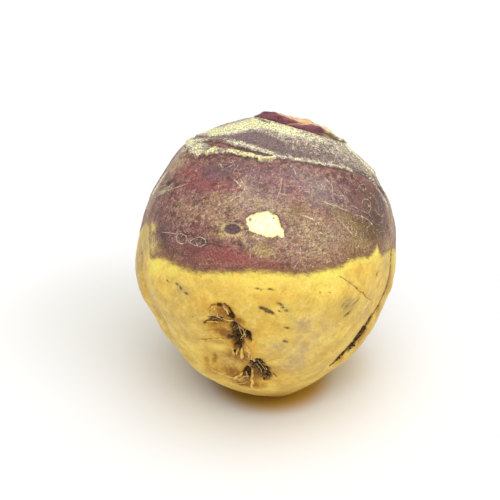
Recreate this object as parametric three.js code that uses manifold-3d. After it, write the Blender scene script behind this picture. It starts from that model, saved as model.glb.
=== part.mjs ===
// A rutabaga as it is sold: one swollen root with its leaves and taproot trimmed off.
// It holds the root, the stubs of its leaf bases on the crown, the dried heart between them,
// and the stubs of the side roots that grow from two hollows low on the front.
//
// Millimetres, +Z up. The root leans back and to its right, and rests on a small flat spot.
// Places on the root are given as on a globe: azimuth 0 faces -Y and grows towards +X,
// latitude 90 is the crown, and the middle of the globe is the middle of the root.

import * as THREE from 'three';
import { mergeVertices } from 'three/addons/utils/BufferGeometryUtils.js';
import Module from 'manifold-3d';

const wasm = await Module();
wasm.setup();

// ---- driving sizes ----

const LEAN_BACK = THREE.MathUtils.degToRad(19);
const LEAN_RIGHT = THREE.MathUtils.degToRad(10);
const FOOT_CUT = 2.2;              // how much the resting spot flattens the underside
const TOUCH_GAP = 0.3;             // kept between two solids that meet
const GLOBE_RADIUS = 58;           // turns a distance on the globe into millimetres

// Sections up the growth axis: height, radius, and how far the centre drifts to the right.
const ROOT_SECTIONS = [
  [-63.5, 0, 6],
  [-63, 13.5, 6],
  [-56, 28, 1.2],
  [-46, 37.2, 1.6],
  [-34, 47.5, 0.6],
  [-20, 54.6, -2.4],
  [0, 57.6, -1],
  [20, 54.9, -1],
  [34, 48.7, -1.3],
  [44, 41.1, -1.7],
  [52, 30.2, -1.5],
  [56.5, 21.5, 3.5],
];
const ROOT_STATIONS = 46;
const ROOT_SEGMENTS = 84;

// The crown is a flat disc, tipped to the right of the growth axis.
const CROWN_HEIGHT = 56.5;
const CROWN_DRIFT = 3.5;
const CROWN_TIP = THREE.MathUtils.degToRad(4.6);
const CROWN_BLEND = 5;             // height below the disc where the tip starts

// Soft swells and hollows: azimuth, latitude, half width, half height (degrees), rise (mm).
const SWELLS = [
  [94, -14, 20, 34, 0.9],          // lobe behind the right root furrow
  [-94, -22, 20, 26, 0.4],         // lobe behind the left valley
  [180, -52, 34, 16, 2.6],         // heel that carries the weight at the back
  [-78, -48, 14, 10, 1.6],
  [168, 4, 30, 26, 1.2],
  [-140, 14, 22, 18, -1.3],
  [128, 30, 20, 14, -1.0],
  [14, -8, 22, 16, 0.6],
  [-15, -42, 9, 8, -2.0],          // dish where a side root was trimmed off
  [-8, -28, 5, 7, -2.2],           // upper cluster of side roots
  [-21, -24, 5, 3, -1.2],
  [5, -50, 9, 4.5, -2.2],          // lower cluster of side roots
];

// Long furrows: the azimuth and latitude of their points, half width and depth (mm).
const FURROWS = [
  { path: [[64, 12], [62, 0], [61, -11], [60, -21], [57, -28], [52, -34], [48, -44]], width: 3.2, depth: 1.8 },
  { path: [[-71, -8], [-60, -20], [-57, -33], [-62, -48], [-70, -60]], width: 4, depth: 1.4 },
  { path: [[-166, 2], [-170, -16], [-164, -34], [-172, -52]], width: 4, depth: 1.6 },
];

// Steps left where old leaves fell, round the shoulders: the middle's azimuth and latitude,
// half span and end drop (degrees), width and rise (mm).
const LEAF_SCARS = [
  { azimuth: 3, latitude: 48, span: 68, drop: 9, width: 2.6, rise: 0.6 },
  { azimuth: 118, latitude: 50, span: 56, drop: 8, width: 2.6, rise: 0.7 },
  { azimuth: -122, latitude: 46, span: 60, drop: 7, width: 2.6, rise: 0.8 },
  { azimuth: -62, latitude: 60, span: 44, drop: 5, width: 2.4, rise: 0.4 },
  { azimuth: 62, latitude: 58, span: 40, drop: 4, width: 2.4, rise: 0.5 },
  { azimuth: 172, latitude: 61, span: 50, drop: 5, width: 2.4, rise: 0.6 },
];
const SCAR_STEPS = 10;

// Leaf bases on the crown. Each is a crescent whose right end tucks inside the next one:
// azimuth of its middle, half span (degrees), outer radius, thickness and tuck (mm).
const LEAF_BASES = [
  { azimuth: -36, span: 50, radius: 20.4, thickness: 4.2, tuck: 4.2 },
  { azimuth: 22, span: 42, radius: 21.2, thickness: 3.2, tuck: 3.4 },
  { azimuth: 83, span: 31, radius: 21, thickness: 3, tuck: 3 },
  { azimuth: 137, span: 36, radius: 20.8, thickness: 3.4, tuck: 3.4 },
  { azimuth: 197, span: 36, radius: 20.6, thickness: 3.6, tuck: 3.4 },
  { azimuth: 251, span: 32, radius: 20.4, thickness: 3.2, tuck: 3.2 },
  { azimuth: 60, span: 52, radius: 13, thickness: 3.2, tuck: 2.6 },
  { azimuth: 180, span: 52, radius: 12.6, thickness: 3, tuck: 2.6 },
  { azimuth: 300, span: 46, radius: 12.4, thickness: 3, tuck: 2.4 },
];
const LEAF_BASE_STEPS = 12;
const LEAF_BASE_THIN_END = 0.34;   // share of the thickness left at the tips
const LEAF_BASE_END_FALL = 0.7;    // share of the height lost at the tips
const KNIFE_HEIGHT = 4.2;          // the knife cut over the middle of the crown
const KNIFE_DROP = 0.08;           // how much lower it runs for each mm to the right
const KNIFE_RISE = 0.07;           // and how much higher for each mm towards the back
const HEART_HEIGHT = 2.8;
const HEART_RADIUS = 5.2;

// Side roots that show as stubs: azimuth and latitude of their points, and their thickness.
const SIDE_ROOTS = [
  { path: [[-29, -37], [-21, -34], [-13, -30]], radius: 0.7 },
  { path: [[-35, -58], [-19, -59], [-4, -58], [9, -57]], radius: 0.6 },
  { path: [[-6, -38], [-4, -34], [-4, -30]], radius: 0.9 },
  { path: [[1, -47], [2, -50], [3, -54]], radius: 0.9 },
  { path: [[-176, -24], [-170, -30], [-168, -37]], radius: 0.8 },
  { path: [[54, -40], [50, -46], [44, -50]], radius: 0.7 },
];
const SIDE_ROOT_SIDES = 8;
const SIDE_ROOT_STEPS = 8;

// ---- materials ----

const finish = (color, roughness) => new THREE.MeshStandardMaterial({ color, roughness, metalness: 0 });
const rootSkin = () => finish(0xd8b257, 0.5);
const leafSkin = () => finish(0x6f3b46, 0.55);
const driedPith = () => finish(0x9a7a52, 0.85);
const rootletSkin = () => finish(0xcda85c, 0.8);

// ---- places on the globe ----

const degrees = THREE.MathUtils.degToRad;

function direction(azimuth, latitude) {
  const a = degrees(azimuth);
  const l = degrees(latitude);
  return new THREE.Vector3(Math.sin(a) * Math.cos(l), -Math.cos(a) * Math.cos(l), Math.sin(l));
}

function swellAt(way, [azimuth, latitude, halfWidth, halfHeight, rise]) {
  const centre = direction(azimuth, latitude);
  if (way.dot(centre) <= 0) {
    return 0;
  }
  const east = direction(azimuth + 90, 0);
  const north = new THREE.Vector3().crossVectors(centre, east);
  const u = THREE.MathUtils.radToDeg(way.dot(east)) / halfWidth;
  const v = THREE.MathUtils.radToDeg(way.dot(north)) / halfHeight;
  return rise * Math.exp(-(u * u + v * v));
}

// Distance in millimetres from a direction to a line of points on the globe.
function distanceToPath(way, points) {
  const nearest = new THREE.Vector3();
  let best = Infinity;
  for (let i = 1; i < points.length; i += 1) {
    new THREE.Line3(points[i - 1], points[i]).closestPointToPoint(way, true, nearest);
    best = Math.min(best, nearest.distanceTo(way));
  }
  return best * GLOBE_RADIUS;
}

const furrowLines = FURROWS.map(({ path }) => path.map(([azimuth, latitude]) => direction(azimuth, latitude)));

const scarLines = LEAF_SCARS.map(({ azimuth, latitude, span, drop }) => {
  const line = [];
  for (let i = 0; i <= SCAR_STEPS; i += 1) {
    const along = (2 * i) / SCAR_STEPS - 1;
    line.push(direction(azimuth + span * along, latitude - drop * along * along));
  }
  return line;
});

// How far the skin stands out from the plain sections in one direction.
function relief(way) {
  let rise = 0;
  for (const swell of SWELLS) {
    rise += swellAt(way, swell);
  }
  FURROWS.forEach(({ width, depth }, i) => {
    rise -= depth * Math.exp(-((distanceToPath(way, furrowLines[i]) / width) ** 2));
  });
  LEAF_SCARS.forEach((scar, i) => {
    rise += scar.rise * Math.exp(-((distanceToPath(way, scarLines[i]) / scar.width) ** 2));
  });
  return rise;
}

// ---- solids ----

function toSolid(geometry) {
  geometry.deleteAttribute('normal');
  geometry.deleteAttribute('uv');
  const merged = mergeVertices(geometry);
  const corners = Array.from(merged.index.array);
  const triangles = [];
  for (let i = 0; i < corners.length; i += 3) {
    const [a, b, c] = corners.slice(i, i + 3);
    if (a !== b && b !== c && c !== a) {
      triangles.push(a, b, c);
    }
  }
  return new wasm.Manifold(new wasm.Mesh({
    numProp: 3,
    vertProperties: Float32Array.from(merged.attributes.position.array),
    triVerts: Uint32Array.from(triangles),
  }));
}

function toGeometry(solid) {
  const { vertProperties, triVerts } = solid.getMesh();
  const geometry = new THREE.BufferGeometry();
  geometry.setAttribute('position', new THREE.BufferAttribute(vertProperties, 3));
  geometry.setIndex(new THREE.BufferAttribute(triVerts, 1));
  geometry.computeVertexNormals();
  return geometry;
}

// ---- the root ----

const lean = new THREE.Matrix4()
  .makeRotationX(-LEAN_BACK)
  .multiply(new THREE.Matrix4().makeRotationY(LEAN_RIGHT));

// Height of the crown disc over a point right of the growth axis.
const crownHeight = (x) => CROWN_HEIGHT - Math.tan(CROWN_TIP) * (x - CROWN_DRIFT);

function rootGeometry() {
  const spine = new THREE.CatmullRomCurve3(
    ROOT_SECTIONS.map(([height, radius, drift]) => new THREE.Vector3(radius, height, drift)),
  );
  const stations = spine.getSpacedPoints(ROOT_STATIONS);
  stations.push(new THREE.Vector3(0, CROWN_HEIGHT, CROWN_DRIFT));
  const profile = stations.map(({ x, y }) => new THREE.Vector2(Math.max(x, 0), y));
  const geometry = new THREE.LatheGeometry(profile, ROOT_SEGMENTS);
  geometry.rotateX(Math.PI / 2);

  const position = geometry.attributes.position;
  const point = new THREE.Vector3();
  const way = new THREE.Vector3();
  const rim = stations.length - 2;
  for (let i = 0; i < position.count; i += 1) {
    const station = i % stations.length;
    point.fromBufferAttribute(position, i);
    point.x += stations[station].z;
    const tip = THREE.MathUtils.smoothstep(point.z, CROWN_HEIGHT - CROWN_BLEND, CROWN_HEIGHT);
    point.z += tip * (crownHeight(point.x) - CROWN_HEIGHT);
    if (station < rim) {
      way.copy(point).normalize();
      point.addScaledVector(way, relief(way));
    }
    position.setXYZ(i, point.x, point.y, point.z);
  }
  geometry.applyMatrix4(lean);
  return geometry;
}

// The underside is cut flat where the root rests.
function restedRoot() {
  const geometry = rootGeometry();
  geometry.computeBoundingBox();
  const { min, max } = geometry.boundingBox;
  const reach = max.x - min.x;
  const ground = new THREE.BoxGeometry(2 * reach, 2 * reach, reach);
  ground.translate(0, 0, min.z + FOOT_CUT - reach / 2);
  return toSolid(geometry).subtract(toSolid(ground));
}

const root = new THREE.Mesh(toGeometry(restedRoot()), rootSkin());
root.name = 'root_body';

// A point on the skin, in the leaned frame.
function skinPoint(azimuth, latitude, above) {
  const way = direction(azimuth, latitude).applyMatrix4(lean);
  const far = way.clone().multiplyScalar(2 * GLOBE_RADIUS);
  const [hit] = new THREE.Raycaster(far, way.clone().negate()).intersectObject(root);
  return hit.point.addScaledVector(way, above);
}

// ---- leaf bases and heart ----

// A crescent seen from above, then cut off by the knife and worn down towards its two tips.
function leafBase({ azimuth, span, radius, thickness, tuck }) {
  const outer = [];
  const inner = [];
  for (let i = 0; i <= LEAF_BASE_STEPS; i += 1) {
    const along = (2 * i) / LEAF_BASE_STEPS - 1;
    const angle = degrees(azimuth + span * along - 90);
    const outside = radius - tuck * ((1 + along) / 2) ** 2;
    const full = LEAF_BASE_THIN_END + (1 - LEAF_BASE_THIN_END) * Math.cos((along * Math.PI) / 2);
    const inside = outside - thickness * full;
    outer.push(new THREE.Vector2(outside * Math.cos(angle), outside * Math.sin(angle)));
    inner.push(new THREE.Vector2(inside * Math.cos(angle), inside * Math.sin(angle)));
  }
  const outline = new THREE.Shape([...outer, ...inner.reverse()]);
  const geometry = new THREE.ExtrudeGeometry(outline, { depth: 1, bevelEnabled: false });
  const position = geometry.attributes.position;
  const toMiddle = new THREE.Vector3(Math.sin(degrees(azimuth)), -Math.cos(degrees(azimuth)), 0);
  const place = new THREE.Vector3();
  for (let i = 0; i < position.count; i += 1) {
    place.fromBufferAttribute(position, i);
    const cut = KNIFE_HEIGHT - KNIFE_DROP * place.x + KNIFE_RISE * place.y;
    const along = place.clone().setZ(0).angleTo(toMiddle) / degrees(span);
    position.setZ(i, place.z * cut * (1 - LEAF_BASE_END_FALL * along ** 4));
  }
  return toSolid(geometry);
}

function heart() {
  const profile = new THREE.SplineCurve([
    new THREE.Vector2(HEART_RADIUS, 0),
    new THREE.Vector2(0.85 * HEART_RADIUS, 0.6 * HEART_HEIGHT),
    new THREE.Vector2(0.4 * HEART_RADIUS, 0.8 * HEART_HEIGHT),
    new THREE.Vector2(0, HEART_HEIGHT),
  ]);
  const points = [new THREE.Vector2(0, 0), ...profile.getPoints(8)];
  points[points.length - 1].x = 0;
  const geometry = new THREE.LatheGeometry(points, 20);
  geometry.rotateX(Math.PI / 2);
  return toSolid(geometry);
}

// The crown's own frame: its disc is the XY plane, and +Z leaves the root.
const crown = new THREE.Group();
crown.position.set(CROWN_DRIFT, 0, CROWN_HEIGHT + TOUCH_GAP);
crown.rotation.y = CROWN_TIP;

LEAF_BASES.forEach((base, i) => {
  const mesh = new THREE.Mesh(toGeometry(leafBase(base)), leafSkin());
  mesh.name = `leaf_base_${i + 1}`;
  crown.add(mesh);
});
const heartMesh = new THREE.Mesh(toGeometry(heart()), driedPith());
heartMesh.name = 'crown_heart';
crown.add(heartMesh);

const leaned = new THREE.Group();
leaned.applyMatrix4(lean);
leaned.add(crown);

// ---- side roots ----

function sideRoot({ path, radius }) {
  const points = path.map(([azimuth, latitude]) => skinPoint(azimuth, latitude, radius + 2 * TOUCH_GAP));
  const section = new THREE.Shape().absarc(0, 0, radius, 0, 2 * Math.PI);
  return new THREE.ExtrudeGeometry(section, {
    curveSegments: SIDE_ROOT_SIDES,
    steps: SIDE_ROOT_STEPS,
    bevelEnabled: false,
    extrudePath: new THREE.CatmullRomCurve3(points),
  });
}

const sideRoots = SIDE_ROOTS.map((stub, i) => {
  const mesh = new THREE.Mesh(toGeometry(toSolid(sideRoot(stub))), rootletSkin());
  mesh.name = `side_root_${i + 1}`;
  return mesh;
});

// ---- the whole rutabaga, standing on Z = 0 over the middle of its own box ----

const rutabaga = new THREE.Group();
rutabaga.add(root, leaned, ...sideRoots);
const box = new THREE.Box3().setFromObject(rutabaga, true);
const middle = box.getCenter(new THREE.Vector3());
rutabaga.position.set(-middle.x, -middle.y, -box.min.z);

export default rutabaga;
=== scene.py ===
"""A trimmed rutabaga: purple shoulders over a yellow root, cut leaf bases on the crown,
and two soil-filled hollows with side roots and root hairs low on the front."""

import math

import bmesh
import bpy
import numpy as np
from bpy.props import FloatProperty, FloatVectorProperty, IntProperty, PointerProperty
from mathutils import Matrix, Vector, noise
from mathutils.bvhtree import BVHTree


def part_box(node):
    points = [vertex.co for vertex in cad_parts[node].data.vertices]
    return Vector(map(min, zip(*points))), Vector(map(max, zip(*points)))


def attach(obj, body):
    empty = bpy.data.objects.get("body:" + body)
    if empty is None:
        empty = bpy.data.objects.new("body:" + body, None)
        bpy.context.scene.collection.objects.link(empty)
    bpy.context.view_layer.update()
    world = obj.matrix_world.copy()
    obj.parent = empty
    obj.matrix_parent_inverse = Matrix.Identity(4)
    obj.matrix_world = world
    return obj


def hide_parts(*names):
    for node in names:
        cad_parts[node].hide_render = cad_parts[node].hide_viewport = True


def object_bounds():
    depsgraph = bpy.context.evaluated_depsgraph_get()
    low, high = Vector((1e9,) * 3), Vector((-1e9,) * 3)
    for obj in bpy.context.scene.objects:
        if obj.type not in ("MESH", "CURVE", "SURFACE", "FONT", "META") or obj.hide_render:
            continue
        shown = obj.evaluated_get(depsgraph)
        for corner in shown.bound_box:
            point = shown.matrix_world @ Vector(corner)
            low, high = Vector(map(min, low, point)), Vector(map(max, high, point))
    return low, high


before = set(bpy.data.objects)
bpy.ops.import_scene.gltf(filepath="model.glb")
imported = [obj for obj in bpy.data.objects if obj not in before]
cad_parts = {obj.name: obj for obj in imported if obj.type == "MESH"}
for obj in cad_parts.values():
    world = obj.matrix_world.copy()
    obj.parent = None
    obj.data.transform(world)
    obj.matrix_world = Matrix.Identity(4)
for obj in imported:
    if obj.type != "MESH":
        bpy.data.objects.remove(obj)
CAD_LOW, CAD_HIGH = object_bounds()

bl_info = {
    "name": "Trimmed Rutabaga",
    "version": (1, 0, 0),
    "blender": (4, 5, 0),
    "location": "View3D > Sidebar > Rutabaga",
    "description": "Builds the skin, crown, side roots, root hairs and soil of a rutabaga",
    "category": "Object",
}

MM = 0.001
BODY = "root"

# The root as a globe. Azimuth 0 faces -Y and grows towards +X, latitude 90 is the crown.
# The globe leans with the root, and its middle is the root's middle.
LEAN = Matrix.Rotation(math.radians(-19), 3, "X") @ Matrix.Rotation(math.radians(10), 3, "Y")
LEAN_ROWS = np.array(LEAN)
ROOT_LOW, ROOT_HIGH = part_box("root_body")
MIDDLE = (ROOT_LOW + ROOT_HIGH) / 2 + Vector((1.5, -0.4, 1.0)) * MM
GLOBE = 58.0  # mm, the globe's radius

FAR = 99.0  # mm, farther than any mark's soft edge reaches
OUTSIDE = 0.2  # m from the middle, outside the root
MERGE_DISTANCE = 1e-6  # m between corners that a CAD mesh shares

# The crown disc in millimetres in the leaned frame: its middle, its own tip, its radius, and the
# height below which no skin counts as disc.
CROWN_MIDDLE = np.array((3.5, 0.0, 56.5))
CROWN_TIP = math.radians(4.6)
CROWN_RADIUS = 21.5
CROWN_FROM = 30.0

# The crown's outline: the height over the disc (mm) that nothing passes, by the place across it.
CROWN_ACROSS = [-21, -18.5, -17.5, -15.5, -13, -8.5, -3, 3.5, 6.5, 9, 12, 15, 17, 18.2, 19.5, 20.5]
CROWN_CEILING = [0.4, 2.7, 3.7, 4.5, 4.9, 4.8, 5.1, 5.4, 4.6, 4.3, 4.7, 3.8, 2.8, 1.9, 0.9, 0.3]

# Cut leaf bases: turn round the crown, outer radius, outer height, inner height, thickness, cut.
LEAF_BASES = {
    "leaf_base_1": [
        (-85, 19.4, 0.2, 0.2, 1.2, 0), (-77, 20.4, 1.7, 1.2, 2.4, 0), (-69, 20.9, 3.0, 2.2, 3.4, 0),
        (-60, 21.0, 3.9, 3.0, 4.0, 0), (-50, 21.0, 4.5, 3.8, 4.2, 0), (-40, 20.8, 4.8, 4.3, 4.2, 0.2),
        (-30, 20.6, 4.5, 4.9, 4.2, 1), (-20, 20.1, 4.1, 5.1, 4.0, 1), (-10, 19.2, 3.6, 5.2, 3.6, 1),
        (0, 18.7, 3.3, 5.4, 3.2, 1), (10, 18.3, 3.2, 5.4, 2.8, 1), (22, 17.6, 2.6, 4.4, 1.6, 1)],
    "leaf_base_2": [
        (-23, 20.9, 0.5, 0.6, 0.8, 1), (-14, 21.6, 1.6, 1.8, 2.0, 1), (-6, 21.9, 2.4, 2.6, 2.4, 1),
        (2, 22.0, 3.1, 3.3, 2.4, 1), (10, 21.8, 3.9, 4.2, 2.4, 1), (17, 21.6, 4.1, 4.7, 3.0, 1),
        (24, 21.3, 3.3, 4.6, 4.2, 1), (32, 21.1, 2.6, 4.7, 4.6, 1), (40, 21.0, 2.0, 4.6, 4.8, 1),
        (49, 20.8, 1.5, 4.0, 4.4, 1), (60, 20.4, 0.9, 3.0, 3.4, 1), (69, 19.6, 0.2, 0.6, 1.2, 1)],
    "leaf_base_3": [
        (52, 21.6, 0.4, 0.5, 0.8, 1), (60, 21.8, 1.4, 1.9, 2.2, 1), (68, 21.8, 1.6, 2.0, 2.8, 1),
        (78, 21.6, 1.1, 1.6, 3.0, 1), (90, 21.4, 1.1, 1.7, 3.0, 1), (102, 21.0, 1.2, 1.8, 2.8, 1),
        (114, 20.0, 0.3, 0.5, 1.2, 1)],
    "leaf_base_4": [
        (100, 19.8, 0.3, 0.4, 1.0, 1), (110, 21.0, 1.8, 2.4, 2.8, 1), (124, 21.2, 2.6, 3.4, 3.4, 1),
        (140, 21.0, 3.0, 3.8, 3.4, 1), (156, 20.8, 3.2, 3.8, 3.0, 1), (172, 19.8, 0.6, 0.8, 1.0, 1)],
    "leaf_base_5": [
        (163, 19.8, 0.4, 0.4, 1.0, 1), (173, 20.8, 2.8, 3.2, 3.0, 1), (188, 21.0, 3.8, 4.2, 3.6, 1),
        (204, 20.8, 3.6, 4.2, 3.6, 1), (220, 20.6, 3.0, 3.4, 3.0, 1), (232, 19.6, 0.4, 0.5, 1.0, 1)],
    "leaf_base_6": [
        (222, 20.6, 0.4, 0.4, 0.8, 1), (230, 21.2, 2.0, 2.6, 2.4, 1), (242, 21.0, 2.6, 3.2, 3.2, 1),
        (256, 20.6, 2.2, 2.8, 3.2, 1), (270, 20.2, 1.4, 1.8, 2.8, 1), (282, 19.2, 0.3, 0.4, 1.0, 1)],
    "leaf_base_7": [
        (10, 12.4, 0.6, 0.6, 0.8, 1), (24, 13.3, 2.4, 3.2, 2.4, 1), (44, 13.6, 2.8, 3.6, 3.2, 1),
        (66, 13.4, 2.6, 3.4, 3.2, 1), (90, 13.0, 2.0, 2.8, 2.6, 1), (110, 12.2, 0.5, 0.5, 0.8, 1)],
    "leaf_base_8": [
        (130, 12.2, 0.5, 0.5, 0.8, 1), (146, 12.8, 2.6, 3.2, 2.4, 1), (168, 13.2, 3.2, 4.0, 3.0, 1),
        (192, 13.2, 3.2, 4.0, 3.0, 1), (214, 12.8, 2.8, 3.4, 2.4, 1), (230, 12.0, 0.5, 0.5, 0.8, 1)],
    "leaf_base_9": [
        (256, 12.0, 0.5, 0.5, 0.8, 1), (270, 12.6, 2.6, 3.2, 2.2, 1), (290, 13.0, 3.4, 4.0, 2.8, 1),
        (312, 13.0, 3.6, 4.2, 2.8, 1), (332, 12.6, 3.0, 3.6, 2.2, 1), (344, 11.8, 0.6, 0.6, 0.8, 1)],
}

LEAF_RADIUS = 20  # mm, makes millimetres of an angle round the crown
RIPPLE_FROM = 3.0  # mm over the disc, where ripples reach their full height
DRY_LEAF_BASES = ("leaf_base_3", "leaf_base_4", "leaf_base_7", "leaf_base_8")
DRYING_FROM = {"leaf_base_2": (20, 36)}  # turns between which a leaf base gets dry

# The line where the soil stood: purple above it, yellow below. Azimuth, latitude.
SOIL_LINE = [
    (-180, -3), (-150, -7), (-122, -2), (-100, -5), (-86, -2), (-79, 2), (-73, 6.2), (-68.6, 7.2),
    (-65, 6.2), (-62.6, 2.4), (-60.8, -1.6), (-58.8, -4.8), (-56, -5.6), (-53.4, -4.1), (-45.6, -3.8),
    (-42.9, -4.1), (-40.5, -4.3), (-38.1, -4.6), (-34.9, -4.9), (-30.5, -5), (-26.7, -4.3), (-24.8, -3.5),
    (-22.3, -3), (-18.5, -2.3), (-16.1, -1.9), (-13.9, -1), (-11.5, -0.5), (-9.3, 0.3), (-7, 0.8),
    (-2.4, 1.3), (2.2, 1.8), (6.8, 2.1), (11.5, 2.6), (14.5, 3.4), (17.3, 4.3), (22.7, 6), (27.5, 7),
    (29, 7.8), (30.2, 8.8), (31.6, 9.8), (33, 10.6), (35.2, 10.9), (40.1, 11.5), (43.6, 11.7), (45.2, 12.8),
    (46.8, 14.4), (48.8, 16.2), (50.2, 15), (51.3, 13.2), (53, 12), (55.4, 12.6), (62.3, 13.9), (68.2, 15),
    (80, 11), (92, 8), (124, 5), (152, 2), (180, -3),
]

# Steps left where old leaves fell: azimuth and latitude of their points.
LEAF_SCARS = [
    [(-66, 37), (-60, 38.6), (-52, 38.8), (-47.9, 40.8), (-42.8, 42.2), (-35, 44), (-26, 45), (-20, 44.6),
        (-14, 45), (-9, 47), (-2, 47.6), (6, 47.6), (16, 48.4), (27, 48.3), (37, 48.2), (47, 47.6),
        (54, 46.6), (60, 44.4), (68, 38)],
    [(-66, 46), (-56, 48), (-46, 49.4), (-36, 49), (-28, 48.8), (-20, 48.5), (-12, 48)],
    [(62, 44), (90, 49), (118, 50), (146, 48), (172, 42)],
    [(-62, 40), (-92, 45), (-122, 46), (-152, 44), (-182, 39)],
    [(-104, 47), (-84, 48.8), (-70, 50), (-62, 51), (-53, 53)],
    [(122, 56), (148, 60), (172, 61), (198, 60), (220, 56)],
]

# Where the skin's quads are drawn closer together: the front, and two places in the hollows.
FRONT_SIDE = np.array((0.0, -0.9, 0.1))
FOCUS_PLACES = [(-11, -27), (3, -48)]
FOCUS_REACH = 0.09  # the square of the reach, in radii of the globe

# Heights of the skin's low relief in millimetres.
RELIEF = {
    "ragged": 0.16, "soil": 0.7, "dirt": 0.35, "scar": 0.6, "under_scar": 0.3, "bare": 0.35, "flake": 0.3,
    "pale_line": 0.25, "dark_line": 0.3, "oval": 0.5, "stroke": 0.3, "collar": 0.4,
}

LOW_SHADE_BAND = (3, 20)  # mm over the floor, between which the painted shade of the lower end fades out

# Pits: azimuth, latitude, half width, half height (mm), turn (degrees), depth (mm).
PITS = [
    (-11.6, -24.4, 1.7, 2.4, 0, 2.2), (-9.8, -28.4, 2.7, 2.9, 0, 3.0), (-6.6, -27.2, 2.3, 2.2, 0, 2.6),
    (-5.0, -28.8, 1.5, 1.7, 0, 2.6), (-9.6, -32.6, 2.5, 2.6, 0, 2.8), (-13.4, -31.2, 1.3, 1.2, 0, 1.4),
    (-9.4, -36, 1.9, 2.4, 0, 2.6), (-10.8, -40.4, 1.2, 1.4, 0, 1.4), (-13.4, -19.4, 1.5, 1.2, 0, 1.6),
    (-1.8, -54.0, 2.0, 4.0, 0, 3.0), (0.4, -43.4, 1.5, 3.4, -20, 2.2), (3.2, -46.8, 2.4, 6.2, 0, 3.4),
    (7.4, -49.8, 2.4, 4.6, 0, 3.0), (11.2, -52.8, 1.8, 2.6, 0, 2.0), (-5.0, -60.4, 1.6, 0.5, 0, 0.5),
    (-170, -30, 2.4, 1.5, 10, 1.8), (-166, -42, 2.8, 1.8, -10, 2.0), (-171, -17, 1.8, 1.1, 0, 1.2),
]

# Soft hollows, and knobs where the depth is negative, with the same values as the pits.
SWELLS = [
    (-17.0, -17.8, 2.1, 2.2, 0, -1.3),    # knob of a trimmed side root
    (-18.6, -28.4, 3.0, 2.4, 6, 1.2),     # ochre hollow beside the upper pits
    (-19.0, -48.5, 7.4, 7.6, 8, 1.6),     # dish where a thicker root was trimmed
    (-15.0, -51.0, 4.6, 3.4, 0, 0.6),
    (-25.6, -49.0, 0.8, 3.6, -8, 0.5), (-31.6, -51.0, 0.9, 3.0, -10, 0.4), (-22.6, -45, 0.8, 2.4, 30, 0.4),
    (6, -57.5, 8.0, 1.8, 0, 0.9),         # hollow under the lower pits
    (-3.4, -36.5, 2.2, 4.0, 12, -0.6),
    (-69, -25, 8, 9, 0, -0.95), (66, -20, 8, 9, 0, -0.9), (-40, -61, 8, 5, 0, -0.5),
    (-62, -49, 8, 7, 0, -1.0), (-54, -54.5, 8, 5, 0, -1.1),
    (75.4, 43, 5, 4, 0, 0.9), (76.5, 33, 5, 4, 0, -0.5), (-70, -42, 4, 4, 0, -0.4),
]

# Low folds of skin: the points, half width and rise (mm).
RIDGES = [
    ([(-25.9, -29.2), (-22.5, -27.3), (-20.5, -25.6), (-17.9, -23.9), (-13.9, -23.1)], 1.0, 0.9),
    ([(-11.5, -20.8), (-9.3, -23), (-6.7, -24.8), (-4.2, -26.8), (-3.0, -30.5), (-3.4, -33)], 0.9, 0.7),
    ([(-17.4, -56.2), (-11, -55.4), (-7.6, -50), (-5, -46)], 1.2, 0.6),
    ([(-34, -42), (-36, -52), (-32, -60)], 1.8, 0.5), ([(-29, -44), (-28.6, -50), (-27.4, -54)], 1.0, 0.4),
    ([(-60, 71.5), (-43, 71), (-30, 70.8), (-16, 70), (-4, 69), (7, 68), (17, 66.6), (27, 65.4)], 2.4, 0.8),
    ([(63.5, 10), (63, 0), (61, -9)], 2.2, 0.6), ([(74, -2), (74, -9), (72, -16), (67, -24)], 3.0, 0.75),
    ([(-66, 45.5), (-56, 46.5), (-48, 46)], 1.6, 0.3),
    ([(-19, -16.4), (-17, -15.9), (-15.4, -17.2), (-15, -19)], 0.35, 0.5),
    ([(-18.4, -18), (-17, -17.2), (-16.2, -18.8)], 0.35, 0.4),
    ([(-46, 54.5), (-32, 54), (-18, 54)], 3.0, 0.5),
]

# Narrow soil-filled grooves: the points, half width, depth (mm) and how much soil they hold.
FURROWS = [
    ([(67.4, 14), (68.4, 4), (68.2, -4.8), (66.3, -9.3), (64.3, -13.3), (62.4, -17)], 1.1, 0.9, 0.42),
    ([(62.4, -16.6), (61.6, -20), (60.8, -23.2)], 1.3, 1.3, 0.66),
    ([(60.8, -23), (59.2, -26.9), (57.9, -30.8), (56.5, -32.9)], 1.8, 1.7, 0.98),
    ([(55.8, -32.6), (54.1, -34.8), (53.5, -38.1), (52.7, -42.5)], 0.9, 1.4, 0.9),
    ([(-70, -8), (-66, -16), (-63.4, -22), (-63.2, -28), (-63.2, -34), (-62.8, -40), (-63, -46)],
        0.9, 0.8, 0.16),
    ([(-166, 0), (-170, -16), (-164, -34), (-172, -50)], 1.6, 1.0, 0.35),
    ([(-23.4, -19.4), (-22, -16.4), (-19.6, -15.6)], 0.45, 0.7, 0.4),
    ([(-12.6, -21), (-10, -22.6), (-8, -24.2)], 0.5, 0.7, 0.5),
    ([(-16.6, -14.8), (-14.6, -16.0), (-13.3, -18.2)], 0.45, 1.0, 0.6),
    ([(-19.4, -15.5), (-17.8, -15.3)], 0.6, 0.9, 0.7),
    ([(-26, -26.1), (-24, -24.4), (-22.4, -23.3)], 0.5, 0.6, 0.5),
    ([(-22.6, -22.9), (-20.4, -22.6), (-17.4, -22)], 0.95, 0.9, 0.66),
    ([(-21.6, -24.6), (-20, -23.9)], 0.5, 0.4, 0.5),
    ([(-32, -37.6), (-24, -34.8), (-17, -32.6), (-12, -32.6)], 0.6, 0.5, 0.2),
]

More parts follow.
